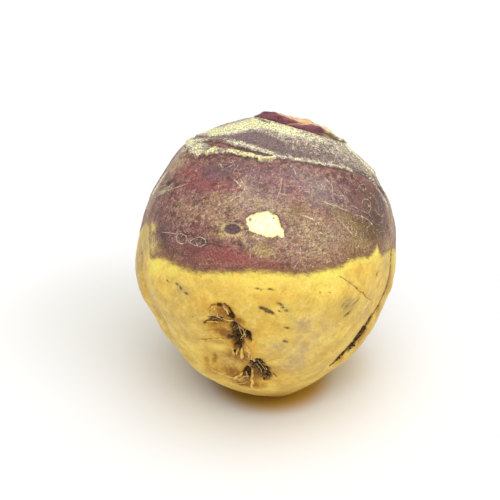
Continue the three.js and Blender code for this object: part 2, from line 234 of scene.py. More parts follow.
# Bare cream patches: azimuth and latitude of the middle, then corners in millimetres.
BARE_PATCHES = {
    "window": ((-6, 19.3), [
        (-8.0, 0.5), (-7.2, 1.8), (-4.4, 3.6), (-1.8, 4.9), (0.0, 5.4), (1.8, 4.5), (3.9, 4.1), (5.0, 2.3),
        (6.0, 0.2), (7.4, -0.8), (8.1, -3.6), (7.0, -4.0), (5.4, -3.4), (3.5, -4.5), (1.2, -4.9),
        (-3.2, -4.1), (-5.2, -4.0), (-6.2, -2.6), (-7.4, -1.2)]),
    "back_window": ((150, 24), [
        (-4.4, -0.6), (-3.8, 1.2), (-2.4, 1.6), (-1.6, 2.8), (0.5, 2.2), (1.6, 2.6), (2.4, 1.0), (4.6, 0.4),
        (3.2, -1.0), (2.4, -2.6), (-1.0, -1.6), (-3.0, -2.2)]),
}

# Flaking cork along the leaf scar: lines of places, half width (mm) and strength.
FLAKES = [
    ([(-46.6, 41.6), (-45.9, 43.4), (-45, 44.8)], 1.15, 1.15), ([(-43.6, 43.4), (-43, 44.8)], 0.8, 0.9),
    ([(-35, 45), (-32, 45.6)], 0.95, 1.1), ([(-30.4, 45.3), (-27.4, 45.3)], 0.85, 1.0),
    ([(-26, 45.2), (-23, 45.3), (-20.6, 45.2)], 0.95, 1.15), ([(-60, 42), (-60.6, 44.2)], 1.5, 0.75),
    ([(-54, 39.8), (-50, 40.6)], 0.6, 0.6),
    ([(-15.8, 44.6), (-13.4, 45.2), (-11, 46.2), (-9.2, 47)], 0.85, 1.5),
    ([(-18.6, 45.4), (-16, 45.2)], 0.3, 1.0),
]

# Dark strokes on the yellow: azimuth, latitude, half length, half height (mm), turn (degrees).
STROKES = [
    (0.4, -13.8, 2.3, 0.9, -14), (2.8, -14.6, 1.6, 0.6, -22), (-1.8, -13.2, 1.0, 0.5, -10),
    (5.2, -10.4, 1.5, 0.5, -12), (6.6, -11.6, 0.7, 0.4, 0), (8.4, -12.8, 0.8, 0.5, 10),
    (5.6, -13.4, 0.8, 0.3, -20), (10.5, -20.4, 1.3, 0.5, -8), (11.8, -27.1, 1.3, 0.6, -20),
    (-39.0, -11.8, 0.9, 0.6, 0), (-36.8, -12.8, 0.8, 0.6, -20), (-33.9, -14.3, 1.3, 0.55, -4),
    (-44, -12, 1.1, 0.35, -10), (-4.4, -5.8, 1.8, 0.3, 0), (0.6, -5.2, 1.6, 0.3, 0),
    (51, 4.5, 0.5, 0.8, -20), (16, -51, 2.0, 0.35, -35), (38.0, -12.8, 2.1, 0.55, 46),
    (43.6, -3.5, 0.6, 0.6, 0), (38.8, -1.4, 0.5, 0.6, 0), (-12.6, 19.8, 0.5, 0.6, 0),
    (36.0, -9.0, 1.8, 0.3, 48), (39.6, -8.2, 1.9, 0.3, 50), (41.6, -6.8, 1.6, 0.28, 50),
    (33.4, -8.6, 1.4, 0.26, 60), (20.6, -3.6, 0.5, 0.3, 0), (24.8, -3.4, 0.5, 0.3, 0),
    (-31.6, -24.2, 0.5, 0.4, 0), (-71, -6.4, 0.6, 0.9, 0), (112, -18, 2.0, 0.7, 10),
    (140, -24, 1.4, 0.6, -20), (-110, -20, 1.8, 0.6, 15), (-134, -28, 1.2, 0.6, 0), (88, -30, 1.2, 0.5, 25),
    (170, -8, 1.6, 0.5, -10),
]

# Fine pale lines on the purple: half width (mm), then their points.
PALE_LINES = [
    (0.2, [(-43.2, 6.2), (-42.4, 7.6), (-40.4, 8.2), (-38, 7.8), (-36.8, 6.4), (-37.6, 5), (-39.8, 4.3),
        (-42.2, 4.8), (-43.2, 6.2)]),
    (0.17, [(-36.4, 5.8), (-33.5, 7.9), (-31.2, 9), (-28.9, 8.5), (-28.2, 7), (-30, 5.5), (-33, 5.3),
        (-36.4, 5.8)]),
    (0.13, [(-33.6, 7.6), (-32.4, 6.4), (-31.6, 5.4)]),
    (0.15, [(-52, 6.2), (-47, 7), (-43.4, 7.4)]), (0.13, [(-10.4, 10), (-9.3, 5)]),
    (0.14, [(9.2, 12.6), (9.6, 8.6), (8.3, 5.2)]), (0.12, [(9.4, 8), (12.2, 5.4)]),
    (0.16, [(-69, 17.6), (-63, 20), (-56.4, 23.7), (-51.5, 25.5), (-47.4, 27.6)]),
    (0.14, [(-61, 23), (-57.5, 26)]), (0.15, [(-67, 20.2), (-62, 22), (-58.4, 24.6)]),
    (0.13, [(-65, 19.6), (-59, 23)]), (0.13, [(-68, 22.4), (-63, 24.2)]),
    (0.2, [(-24.3, 33.8), (-21.1, 32.2)]), (0.17, [(-22.2, 32.5), (-18, 30.4)]),
    (0.14, [(-21.5, 34.4), (-18.1, 31.9)]), (0.2, [(-22.8, 25.2), (-21.3, 26.6), (-19.6, 27.8)]),
    (0.16, [(20, 41.8), (23.3, 39.5), (23.3, 36.6)]), (0.17, [(2.2, 43.6), (4, 41.2)]),
    (0.13, [(3.8, 36.2), (6.4, 36.6)]), (0.17, [(18.4, 31.7), (22.8, 30.8)]),
    (0.26, [(24.6, 31), (27, 30.2), (30.8, 29.4)]), (0.24, [(28.8, 36), (29.6, 35.4)]),
    # A painted glint on the oval scar.
    (0.4, [(-20.1, 15.2), (-19.5, 15.3)]),
    (0.14, [(41.3, 34.1), (43.5, 35.5), (46.6, 35.2), (47.7, 33.9), (47.3, 31.8), (44.9, 30)]),
    (0.6, [(45.8, 32.6), (46.1, 32.2)]),
    (0.12, [(39.7, 39.1), (43.3, 41.5), (47.4, 42.1), (48, 40.4), (44.2, 38.5)]),
    (0.12, [(33.8, 31.9), (39.8, 30.2), (43.8, 29.1), (46.5, 27.6)]),
    (0.12, [(50, 38), (53, 36), (54, 32)]), (0.12, [(50, 31), (54, 28), (58, 29)]),
    (0.28, [(8.6, 25), (12.9, 24.2)]), (0.22, [(25.4, 25.6), (29.6, 22.4), (33.1, 19.9)]),
    (0.15, [(34.9, 28.2), (39, 27.8), (43, 26.6), (45.6, 24.7)]), (0.16, [(41.9, 23.6), (45.6, 25.5)]),
    (0.13, [(-3, 38), (-2.6, 34), (-3.4, 30)]), (0.13, [(-31, 38), (-29, 39.4)]),
    (0.15, [(-36, 39), (-33.4, 37.8)]), (0.13, [(-27, 36.8), (-25.8, 39.6)]),
    (0.12, [(15, 20), (20, 18.6)]), (0.16, [(104, 30), (109, 26)]), (0.16, [(-114, 16), (-110, 20)]),
    (0.16, [(160, 34), (164, 29)]),
]

# Fine dark lines: half width (mm), then their points. Several are painted shadow just under a ledge:
# the leaf scars, the left end of a leaf base and the flake by the nick.
DARK_LINES = [
    (0.34, [(-56.6, 5.6), (-53.6, 5.4), (-51, 5.8)]), (0.3, [(-28.4, 7), (-26, 7.4), (-22, 7.2)]),
    # Painted shade in the fold just under the second leaf scar.
    (0.5, [(-33, 48), (-26.9, 47.8), (-20.5, 47.8), (-15.7, 47.6), (-11, 47.9)]),
    # Painted shadow under the left end of the cut leaf base.
    (0.8, [(-58, 71.6), (-50, 71.2), (-40, 70.4), (-30, 69.8)]),
    (0.4, [(-58, 47.4), (-53, 46.6), (-50, 46.4)]), (0.4, [(-57, 42.8), (-52, 43.6)]),
    (0.26, [(28.2, 3.3), (31, 2.2), (34.6, 0.6), (38.6, -1.2), (40.6, -2.6), (43.6, -3.5), (47, -5.6),
        (51.8, -7.1)]),
    (0.42, [(43.6, 48.1), (50.2, 47.2), (55.8, 45.6), (61.8, 43), (65.6, 39.7), (71, 37), (70.5, 30.9),
        (68.2, 26.6)]),
    # Painted shadow under the flake at the nick.
    (0.55, [(-17, 43.6), (-14.6, 43.6), (-12.4, 44.6)]),
    (0.25, [(24, 61), (30, 61.4), (38, 61.2)]), (0.26, [(-36, 44), (-30, 44.2), (-24, 44), (-20, 44.6)]),
    (0.34, [(-66, -16), (-63.2, -22), (-63.2, -28), (-63.2, -34), (-62.8, -40), (-63, -45)]),
    (0.22, [(-60.6, -29), (-60, -33), (-59.6, -37)]), (0.2, [(120, -8), (124, -20), (120, -34)]),
    (0.2, [(-140, -10), (-144, -24)]),
]

# The oval scar left of the window: azimuth, latitude, half width, half height (mm), turn.
OVAL_SCARS = [(-18.8, 14.8, 3.7, 2.2, 8)]

# Soft stains by colour: azimuth, latitude, half width, half height (mm), turn, strength. The greyish
# sheen on the purple and the lit yellow are painted light, and some khaki is painted shade.
STAINS = {
    "pink": [
        (-38, 29, 8, 3, 0, 0.9), (-56, 33, 8, 4, 0, 0.6), (-23, 30, 7, 3, -20, 0.6),
        (-48, 33, 8, 3, 20, 0.5), (-16, 4.6, 12, 3.0, -4, 1.0), (-28, 3, 9, 3.4, 0, 0.8),
        (-3, 4.4, 9, 2.0, -4, 0.5), (6, 33, 2.4, 7, 0, 0.8), (10, 27, 6, 2, 0, 0.4),
        (96, 22, 14, 5, 0, 0.6), (-110, 14, 16, 4, 0, 0.6), (170, 12, 20, 4, 0, 0.6),
        (130, 34, 12, 4, 10, 0.5)],
    "scurf": [
        (-27, 19, 15, 6.5, 0, 0.55), (8, 24, 14, 4, -6, 0.55), (20, 15, 14, 8, -8, 0.6),
        (14, 10, 12, 4, 0, 0.4), (11, 5.6, 9, 2.4, 4, 0.6), (-14, 27, 13, 4, 0, 0.75),
        (10, 31, 9, 4, -8, 0.4), (11, 17, 8, 3.4, 0, 0.5), (-63, 21.6, 5, 1.8, 14, 1.0),
        (-64, 35, 7, 5, 0, 1.1), (-20, 34, 6, 4, 0, 0.4), (-5, 8.6, 4, 2.4, 0, 0.9),
        (-44, 17, 7, 6, 20, 0.3), (-5, 10, 5, 4, 0, 0.5), (30, 26, 10, 5, -10, 0.4),
        (-12, 13, 8, 3.4, 0, 0.5), (-55, 30, 8, 5, 20, 0.25), (56, 17, 5, 4, 0, 0.7),
        (66, 20, 6, 10, 0, 0.9), (72, 30, 5, 10, 0, 1.2), (-75, 14, 6, 10, 0, 1.0), (-72, 36, 5, 7, 0, 1.1),
        (40, 18, 10, 4, -8, 0.85), (-100, 24, 16, 7, 0, 0.5), (118, 18, 18, 7, -6, 0.5),
        (-150, 20, 16, 8, 8, 0.5), (172, 30, 14, 6, 0, 0.4)],
    "olive": [
        (7, 27, 4.0, 2.4, 0, 0.9), (4, 22.5, 2, 3, 0, 0.6), (-4.5, 12.2, 2.0, 1.8, 0, 0.8),
        (-6, 9, 1.6, 1.4, 0, 0.5), (25, 29.6, 5, 1.0, -12, 0.6), (-30, 25, 5, 1.6, 0, 0.5),
        (40, 20, 15, 7, 0, 0.8), (56, 20, 7, 5, 0, 0.25), (72, 24, 4, 12, 0, 0.5),
        (30, 27, 10, 4, -10, 0.4), (50, 36, 8, 6, 0, 0.3), (-58, 47, 5, 1.4, 10, 0.9),
        (-52, 43.6, 3, 1.2, 20, 0.7), (-25, 47.9, 8, 0.9, 0, 0.6), (108, 30, 5, 2.0, 0, 0.6),
        (-142, 30, 5, 2.4, 0, 0.6), (-10, 16, 9, 1.2, 0, 0.4)],
    "green": [
        (-61, 25.4, 2.3, 1.2, 8, 1.9), (-54.4, 25.6, 1.2, 1.1, 0, 1.7), (-62, 21.6, 4.6, 2.2, 14, 0.8),
        (-31, 7.2, 2.6, 1.5, 10, 0.8), (118, 20, 4, 1.2, 10, 0.6)],
    "dark": [
        (-48, 1.5, 7, 3.0, -20, 1.0), (-60, 14, 6, 5, 0, 0.5), (-36, 0.0, 7, 2.0, -16, 0.5),
        (-52, 7, 5, 4, 0, 0.8), (44, 25, 6, 5, 30, 0.9), (-33, 6, 8, 4.4, 0, 0.7), (44, 19, 8, 5, 10, 0.7),
        (35, 13.6, 6, 2.4, 10, 0.5), (8, 6, 9, 1.8, 4, 0.6), (50, 22, 5, 6, 0, 1.0), (46, 33, 9, 7, 0, 0.8),
        (60, 30, 6, 12, 0, 0.8), (-34, 36, 8, 4, 0, 0.6), (-20, 40, 12, 4, 0, 0.4), (-58, 31, 4, 6, 0, 0.4),
        (-40, 6.5, 1.8, 1.4, 0, 0.7), (46, 40, 10, 4, -10, 0.5), (-118, 4, 12, 3, 0, 0.6),
        (100, 12, 10, 3, 0, 0.6), (-40, 54, 12, 1.8, 12, 0.9), (-26, 57, 9.5, 4.0, -4, 2.0),
        (-20, 52.6, 8, 2.2, -6, 0.9), (-54, 49.4, 5, 1.2, 6, 0.6), (4, 52, 10, 2.2, 0, 0.5),
        (34, 53, 15, 4, -6, 0.5), (8, 57.5, 15, 4, 0, 0.4), (50, 48, 8, 2, -20, 0.6),
        (-18.7, 14.8, 3.0, 1.5, 8, 1.0)],
    # Painted sheen: a greyish cast where the waxy purple would show a broad highlight.
    "painted_sheen": [
        (-27, 57, 9, 4, -4, 0.5), (17, 37, 10, 6, -10, 1.0), (14, 41, 5, 3, 0, 0.4), (24, 20, 6, 4, 0, 0.3),
        (-14, 26, 7, 4, 0, 0.6)],
    "lilac": [
        (-36, 36, 7, 4, 0, 1.0), (-15, 34.7, 5, 6, 0, 0.9), (-4, 30, 5, 4, 0, 0.9), (2, 42, 6, 3, 0, 0.6),
        (-24, 40, 5, 2.4, 0, 0.6), (-6, 54.5, 8, 3, 0, 0.4), (-28, 55.6, 10, 4, -4, 1.2),
        (-46, 53, 8, 3, 10, 0.8), (36, 30, 5, 4, 0, 0.6), (22, 34, 12, 6, 0, 0.45), (-40, 26, 4, 5, 0, 0.4),
        (-46, 10, 4, 3, 0, 0.4), (100, 38, 12, 5, 0, 0.6), (-140, 34, 14, 5, 0, 0.6)],
    "halo": [
        (-54, -8.4, 4.4, 3.4, 20, 1.0), (-43, -7.6, 4, 2.4, 20, 0.6), (-24, -5.6, 5, 1.6, 0, 0.5),
        (-8, -1.6, 5, 1.4, 4, 0.4), (3, -0.4, 5, 1.6, 4, 0.5), (22, 2.8, 7, 3.0, 6, 0.9),
        (31, 8, 3, 2.2, 20, 0.7), (48.6, 13.6, 1.8, 3.6, 0, 0.8), (44, 11.4, 3, 1.2, 0, 0.5),
        (100, 4, 14, 4, 0, 0.6)],
    # Painted light: spots where the yellow is painted brighter.
    "lit": [
        (25, -2.6, 11, 4.4, 0, 1.0), (-46, -16, 6, 3, 0, 0.5), (-20, -41, 5, 3, 0, 0.6),
        (6, -25, 6, 4, 0, 0.4), (-40, -46, 6, 5, 0, 0.6)],
    "khaki": [
        (-71, 1, 7, 12, 0, 1.5), (-73, -10, 5, 8, 0, 1.0), (63, 9, 9, 6, 0, 1.0), (-27, -9, 12, 4, 0, 0.4),
        # The narrow spots at azimuth 64 to 72 are painted shade on the strip outside the right furrow.
        (-67, -24, 3, 10, 0, 0.5), (72, -6, 2.6, 10, 10, 0.7), (68, -14, 2.6, 8, 14, 0.7),
        (64, -24, 2.6, 8, 34, 0.7), (-150, -4, 14, 3, 0, 0.5), (110, 0, 12, 4, 0, 0.5)],
    "ochre": [
        (-61, 6.4, 3.2, 1.5, -8, 1.3), (-63.2, 1.5, 3.0, 5.5, 0, 0.5), (-58, -1, 5.5, 4, 0, 0.9),
        (36, 15, 9, 3, 8, 0.3), (-19, 12.4, 4.4, 1.4, 8, 0.4), (-24, 13.4, 2, 3, 0, 0.3),
        (62, 16, 4, 2, 0, 0.5), (-150, 2, 12, 3, 0, 0.6), (110, 8, 10, 3, 0, 0.6),
        (-5, 8.4, 4, 2, 0, 0.35)],
    "orange": [
        (-50, -14, 12, 5, -10, 0.4), (40, -3, 8, 5, 20, 0.6), (39, 6, 9, 3, 10, 0.8), (55, 4, 4, 9, 0, 1.0),
        (8, -7, 9, 3, 0, 0.5), (-27, -15.4, 6, 5, 0, 0.9), (-17, -9.4, 8, 3, 0, 0.5),
        (-1, -10, 6, 3, 0, 0.6), (-2.2, -33, 2.0, 6, 6, 1.2), (-21.6, -18, 1.8, 3.2, 10, 1.0),
        (-1.6, -34, 2.2, 5, 10, 0.8), (-66, -20, 4, 16, 0, 0.7), (62, -12, 3, 16, 0, 0.6),
        (8, -57, 8, 1.6, 0, 0.6), (20, -54, 8, 4, 0, 0.7), (1.5, -23, 5, 4, 0, 0.9),
        (-24, -57, 8, 1.6, 0, 0.4), (100, -12, 16, 8, 0, 0.5), (-120, -20, 16, 8, 0, 0.5)],
    "blush": [
        (-66, -4, 4, 5, 0, 0.9), (-14.5, -49.4, 5.4, 4.2, 0, 1.1), (21, -30, 6, 9, 0, 1.2),
        (16, -18, 5, 3.4, 0, 1.1), (30, -20, 6, 8, 20, 0.6), (22, -14, 5, 4, 0, 0.5),
        (24, -44, 8, 4, 0, 0.6), (-16.6, -18.0, 2.0, 1.8, 0, 1.0), (-59.8, -30, 2.4, 13, 0, 1.2),
        (50, -10, 4, 9, 0, 0.6), (-36, -14, 4, 3, 0, 0.5), (-40, -30, 8, 8, 0, 0.4), (8, -31, 4, 5, 0, 1.0),
        (22, -38, 4, 5, 0, 1.2), (130, -26, 12, 8, 0, 0.5), (-96, -34, 10, 8, 0, 0.4)],
    "smudge": [
        (37.4, -8.2, 5.6, 3.4, -10, 1.3), (-35, -13, 4, 2.4, 0, 0.8), (16, -17.6, 3, 1.6, -20, 0.6),
        (-150, -16, 5, 4, 30, 0.6), (8, -12, 4, 2, -30, 0.6), (9, -29, 4, 3, 0, 0.5)],
    "dirt": [
        (-9.5, -29, 5.4, 7.4, 0, 0.9), (-10.6, -20.8, 2.6, 1.6, 0, 1.0), (-7, -41, 4, 4, 0, 0.9),
        (-15, -46, 4, 3, 0, 0.5), (3, -55, 3, 3, 0, 0.6), (2, -60, 6, 2, 0, 0.6), (4, -66, 14, 3, 0, 0.4),
        (-17.4, -18.6, 5.0, 4.4, 0, 0.95), (-16.6, -17.4, 2.2, 2.2, 0, 0.9),
        (-19.4, -28.6, 4.6, 2.4, 6, 1.05), (-15.4, -29.4, 2.4, 2.4, 0, 1.2), (5, -48.4, 8, 7, -10, 1.0),
        (-22, -50, 7, 6, 0, 0.4), (-10, -55, 5, 3, 0, 0.9), (-20, -24.4, 6, 1.8, 16, 0.9),
        (-10.5, -42, 5, 5, 0, 0.8), (-14, -55.4, 5, 1.6, 0, 0.7), (-3, -60.4, 8, 1.8, 0, 0.9),
        (-31.5, -51, 1.2, 3.4, -10, 0.7), (-25.6, -49, 1.0, 4.0, -8, 0.8), (-30, -57, 4, 2.6, 0, 0.5),
        (70, -2, 1.6, 12, 0, 0.5), (66, -12, 2.0, 8, 14, 0.7), (60.4, -25, 2.6, 7, 24, 1.1),
        (54.6, -37, 2.0, 5, 20, 0.8), (-170, -32, 5, 12, 0, 0.5), (-22, -35.8, 7, 1.2, 6, 0.5)],
}

# Cream cork under the crown as lines of places, half width (mm) and strength.
CORK_BANDS = [
    ([(-100, 49), (-86, 52.3), (-68, 55.4), (-61, 59.6), (-57, 64), (-54, 69)], 3.8, 1.0),
    ([(-60, 53), (-50, 56), (-44, 60), (-40, 67)], 3.4, 0.9),
    ([(-40, 66), (-34, 68), (-24, 67.4), (-13, 67), (-4, 66.5)], 2.6, 0.8),
    ([(0, 66), (15, 65), (30, 64)], 1.8, 0.35),
    ([(76, 66), (68, 60), (70, 52), (74, 46), (77, 41)], 2.2, 0.7),
    ([(-41, 50.7), (-33.3, 50.2), (-25.4, 49.8), (-17.8, 49.2), (-11, 48.6)], 1.2, 0.65),
    ([(-74, 38), (-70, 42)], 3, 0.5), ([(60, 43), (65, 38), (69, 33)], 1.5, 0.7),
    ([(-9, 48), (-2, 48.3), (6, 48.1), (12.4, 48.7), (26, 48.9), (42, 48), (51, 47), (58, 45),
        (63, 42)], 0.5, 0.8),
    ([(-62, 40.4), (-52, 40.6), (-46, 42.6), (-40, 43.8), (-34, 44.6), (-26, 45.2), (-16, 45.4)], 0.5, 0.5),
    ([(-84, 43), (-70, 46), (-60, 44.6), (-54, 43)], 2.8, 0.85),
    ([(-76.5, 19), (-74.6, 24), (-73, 28)], 1.5, 1.4),
    ([(96, 64), (130, 62), (168, 60), (-154, 60), (-116, 60), (-96, 56)], 4.0, 0.8),
    ([(72, 50), (104, 55), (140, 54), (176, 50), (-146, 50), (-100, 48)], 2.6, 0.35),
]

# Side roots: the CAD node, azimuth and latitude of the points, thickness (mm) of both ends, paleness.
SIDE_ROOTS = {
    "side_root_1": (
        [(-31.1, -37.8), (-27.1, -36.4), (-23.3, -34.8), (-19.3, -33.2), (-15.7, -32.3)], 0.24, 0.42, 0.0),
    "side_root_2": (
        [(-32.6, -54.6), (-25.8, -57), (-20.2, -57.6), (-15, -57.6), (-9.6, -57.9), (-4, -57.2), (0, -57.2)],
        0.24, 0.28, 0.9),
    "side_root_3": ([(-7.4, -36.6), (-7.1, -39), (-7.2, -43)], 0.45, 0.85, 0.3),
    "side_root_4": ([(0.2, -52.2), (1.1, -54), (2.5, -57), (4.0, -61)], 0.4, 0.8, 0.1),
    "side_root_5": ([(-176, -24), (-172, -28), (-169, -34), (-167, -38)], 0.6, 0.9, 0.4),
    "side_root_6": ([(58.6, -29), (57, -32), (55.4, -33.6)], 0.26, 0.34, 0.0),
}

# Finer side roots that no CAD node stands for: places, thickness (mm) of both ends, paleness.
FINE_ROOTS = [
    ([(-11.8, -58.4), (-8.8, -56.2), (-5.6, -53.8)], 0.7, 0.35, 0.2),
    ([(-4.4, -55.4), (-2.4, -56.8), (-0.4, -57.9)], 0.3, 0.36, 0.8),
    ([(-12.6, -37), (-12.4, -40), (-11.4, -43.4)], 0.25, 0.5, 0.1),
    ([(-6.2, -35), (-4.4, -35.4), (-2, -36.4)], 0.4, 0.3, 0.35),
    ([(-5.4, -33.6), (-3.6, -34.6), (-2.4, -37.4)], 0.3, 0.3, 0.6),
    ([(-9.2, -38), (-10.5, -42.2)], 0.4, 0.55, 0.15),
    ([(-4.6, -33.6), (-3.4, -36.4), (-3.2, -40)], 0.35, 0.5, 0.1),
    ([(-2.0, -38.6), (-0.6, -41.7), (1.0, -46.6)], 0.4, 0.5, 0.85),
    ([(-19.4, -21.8), (-17, -21.8), (-15.2, -21.7), (-11.8, -20.9)], 0.2, 0.24, 0.8),
    ([(-11.8, -20.9), (-10.6, -23.4), (-9.2, -26.1), (-7.9, -28.8), (-5.6, -29.6)], 0.18, 0.24, 0.8),
    ([(-9.2, -25), (-8.2, -27), (-6.6, -29.8)], 0.2, 0.28, 0.9),
    ([(-12.4, -27.4), (-10.2, -28), (-8.6, -31), (-8.8, -34.4)], 0.2, 0.26, 0.7),
    ([(-6.4, -24), (-6.6, -27), (-7.8, -30), (-7.6, -33.4)], 0.18, 0.24, 0.7),
    ([(-16.8, -15.6), (-15.2, -16.8), (-14.4, -18.4)], 0.2, 0.26, 0.7),
    ([(-19, -19.4), (-19.3, -21), (-18.2, -21.9)], 0.28, 0.34, 0.5),
    ([(-23.8, -21.4), (-22.7, -18.6), (-21.2, -16.8)], 0.25, 0.35, 0.1),
    ([(-22.6, -21.4), (-21.4, -19), (-20.2, -17.0)], 0.2, 0.3, 0.15),
    ([(-25, -25), (-22, -24.4), (-19, -23.4)], 0.24, 0.3, 0.3),
    ([(0.4, -47), (4.2, -48.4), (11, -53)], 0.13, 0.17, 0.9),
    ([(0, -50), (4, -51), (8.4, -54)], 0.13, 0.17, 0.8),
    ([(4, -47), (9, -50.6), (13, -53)], 0.12, 0.16, 0.8),
    ([(-9.6, -60.4), (-5.1, -60.6), (-1.2, -58.8)], 0.2, 0.28, 0.8),
    ([(13.6, -51.8), (15.9, -51.8), (18.6, -53.4)], 0.2, 0.24, 0.3),
]
FINE_ROOT_SEED = 20
STRAND_RISE = 0.4  # how far a strand's middle stands over the skin, as a share of its thickness

# Where root hairs grow: azimuth, latitude, half width, half height (mm), turn, strength.
HAIRY = [
    (-9, -27, 5, 6, 0, 1.0), (4, -49, 7, 4, -20, 1.0), (-17, -19, 4.5, 4, 0, 0.5),
    (-22, -24, 4, 1.5, 20, 0.4), (-14, -36, 8, 2, 0, 0.25), (-26, -52, 6, 4, 0, 0.2),
    (-168, -34, 3, 9, 0, 0.5), (54, -30, 3, 8, 20, 0.3),
]

# Painted shadows on the floor close to the root: middle, outer and inner reach (m), share, colour. The
# painted golden shadow and bounce light right beside the root comes last and takes its colour from the
# settings.
FLOOR_PAINTED_SHADES = [
    ((-0.085, 0.05, 0.0), 0.09, 0.01, 1.0, (0.74, 0.74, 0.71)),
    ((0.003, -0.009, 0.0), 0.08, 0.02, 0.3, (0.84, 0.77, 0.6)),
    ((0.022, 0.004, 0.0), 0.036, 0.014, 0.6, (0.62, 0.52, 0.3)),
]
CONTACT_PAINTED_SHADOW = ((0.003, -0.009, 0.0), 0.032, 0.020, 1.0)

# Where the lights stand (m) and where the camera aims (mm), both from the root's middle.
OVERHEAD_SIDE = (0.14, -0.24, 0.9)
FRONT_LIGHT_SIDE = (-0.1, -0.8, 0.5)
CAMERA_AIM = Vector((-8.4, 0.0, 1.3))


def srgb(red, green, blue):
    """A colour given as 0 to 255 on a screen, as linear light."""
    def linear(value):
        share = value / 255
        return share / 12.92 if share <= 0.04045 else ((share + 0.055) / 1.055) ** 2.4
    return (linear(red), linear(green), linear(blue))


# ---- Places and fields on the globe ----


def direction(azimuth, latitude):
    """Unit direction of a place, in the leaned frame."""
    a, b = math.radians(azimuth), math.radians(latitude)
    return np.array((math.sin(a) * math.cos(b), -math.cos(a) * math.cos(b), math.sin(b)))


def flat_map(ways, azimuth, latitude, turn=0.0):
    """Millimetres across and up from a place, with far values behind the globe."""
    centre = direction(azimuth, latitude)
    east = direction(azimuth + 90, 0)
    north = np.cross(centre, east)
    across, up = ways @ east * GLOBE, ways @ north * GLOBE
    behind = ways @ centre < 0
    across[behind] += 4 * GLOBE
    c, s = math.cos(math.radians(turn)), math.sin(math.radians(turn))
    return across * c + up * s, up * c - across * s


def soft_spot(ways, azimuth, latitude, half_width, half_height, turn):
    """A round-edged spot, 1 in its middle."""
    across, up = flat_map(ways, azimuth, latitude, turn)
    return np.exp(-((across / half_width) ** 2) - (up / half_height) ** 2)


def soft_spots(ways, spots):
    """The sum of some soft spots, each with its strength in the end."""
    return sum(spot[5] * soft_spot(ways, *spot[:5]) for spot in spots)


def line_offset(ways, places):
    """Millimetres from a line of places: without a sign, and signed by side."""
    points = [direction(*place) for place in places]
    best = np.full(len(ways), np.inf)
    side = np.ones(len(ways))
    for start, end in zip(points, points[1:]):
        along = end - start
        share = np.clip((ways - start) @ along / (along @ along), 0, 1)
        apart = np.linalg.norm(ways - start - share[:, None] * along, axis=1)
        nearer = apart < best
        best[nearer] = apart[nearer]
        side[nearer] = np.sign((ways @ np.cross(start, end))[nearer])
    return best * GLOBE, best * side * GLOBE


def line_distance(ways, places):
    return line_offset(ways, places)[0]


def soft_line(ways, places, half_width):
    """A soft-edged line, 1 along its middle."""
    return np.exp(-((line_distance(ways, places) / half_width) ** 2))


def line_layer(ways, lines):
    """For fine lines: signed distance over half width, plain distance and half width."""
    layer = np.full((len(ways), 3), FAR)
    for width, places in lines:
        apart, signed = line_offset(ways, places)
        nearer = apart < layer[:, 1]
        layer[nearer] = np.stack((signed / width, apart, np.full(len(ways), width)), axis=1)[nearer]
    return layer


def patch_depth(ways, place, corners):
    """Millimetres inside a patch with straight edges, negative outside it."""
    across, up = flat_map(ways, *place)
    near = np.full(len(ways), np.inf)
    inside = np.zeros(len(ways), bool)
    for (x0, y0), (x1, y1) in zip(corners, corners[1:] + corners[:1]):
        dx, dy = x1 - x0, y1 - y0
        share = np.clip(((across - x0) * dx + (up - y0) * dy) / (dx * dx + dy * dy), 0, 1)
        near = np.minimum(near, np.hypot(across - x0 - share * dx, up - y0 - share * dy))
        if dy:
            crosses = (y0 > up) != (y1 > up)
            inside ^= crosses & (across < x0 + (up - y0) * dx / dy)
    return np.where(inside, near, -near)


def smooth_step(values, low, high):
    share = np.clip((values - low) / (high - low), 0, 1)
    return share * share * (3 - 2 * share)


def azimuth_of(ways):
    return np.degrees(np.arctan2(ways[:, 0], -ways[:, 1]))


def latitude_of(ways):
    return np.degrees(np.arcsin(np.clip(ways[:, 2], -1, 1)))


def grain(points, size, octaves=3, shift=0.0):
    """Smooth noise in -1..1 at points in millimetres, with features of about one size."""
    moved = points / size + shift
    return np.array([noise.fractal(p, 0.8, 2.0, octaves) for p in moved])


# ---- Mesh helpers ----


def coordinates(mesh):
    values = np.empty(len(mesh.vertices) * 3, np.float32)
    mesh.vertices.foreach_get("co", values)
    return values.reshape(-1, 3).astype(float)


def set_coordinates(mesh, values):
    mesh.vertices.foreach_set("co", values.astype(np.float32).ravel())
    mesh.update()


def edges(mesh):
    values = np.empty(len(mesh.edges) * 2, np.int32)
    mesh.edges.foreach_get("vertices", values)
    return values.reshape(-1, 2)


def relax(values, pairs, rounds):
    """Averages a value with those of its neighbours."""
    count = len(values)
    degree = np.bincount(pairs.ravel(), minlength=count)
    for _ in range(rounds):
        total = np.bincount(pairs[:, 0], values[pairs[:, 1]], count)
        total += np.bincount(pairs[:, 1], values[pairs[:, 0]], count)
        values = (values + total / degree) / 2
    return values


def store(mesh, name, values):
    """Keeps one value or vector for each vertex as an attribute for the materials."""
    kind, key = ("FLOAT_VECTOR", "vector") if values.ndim == 2 else ("FLOAT", "value")
    layer = mesh.attributes.new(name, kind, "POINT")
    layer.data.foreach_set(key, values.astype(np.float32).ravel())


def mesh_from(shape, name):
    """The mesh of a bmesh, which is then freed."""
    mesh = bpy.data.meshes.new(name)
    shape.to_mesh(mesh)
    shape.free()
    return mesh


def surface_tree(mesh):
    """Finds where a ray meets a mesh."""
    return BVHTree.FromPolygons(
        [vertex.co for vertex in mesh.vertices], [face.vertices for face in mesh.polygons])


def add_object(name, mesh, material):
    piece = bpy.data.objects.new(name, mesh)
    bpy.context.scene.collection.objects.link(piece)
    mesh.materials.clear()
    mesh.materials.append(material)
    mesh.shade_smooth()
    return piece


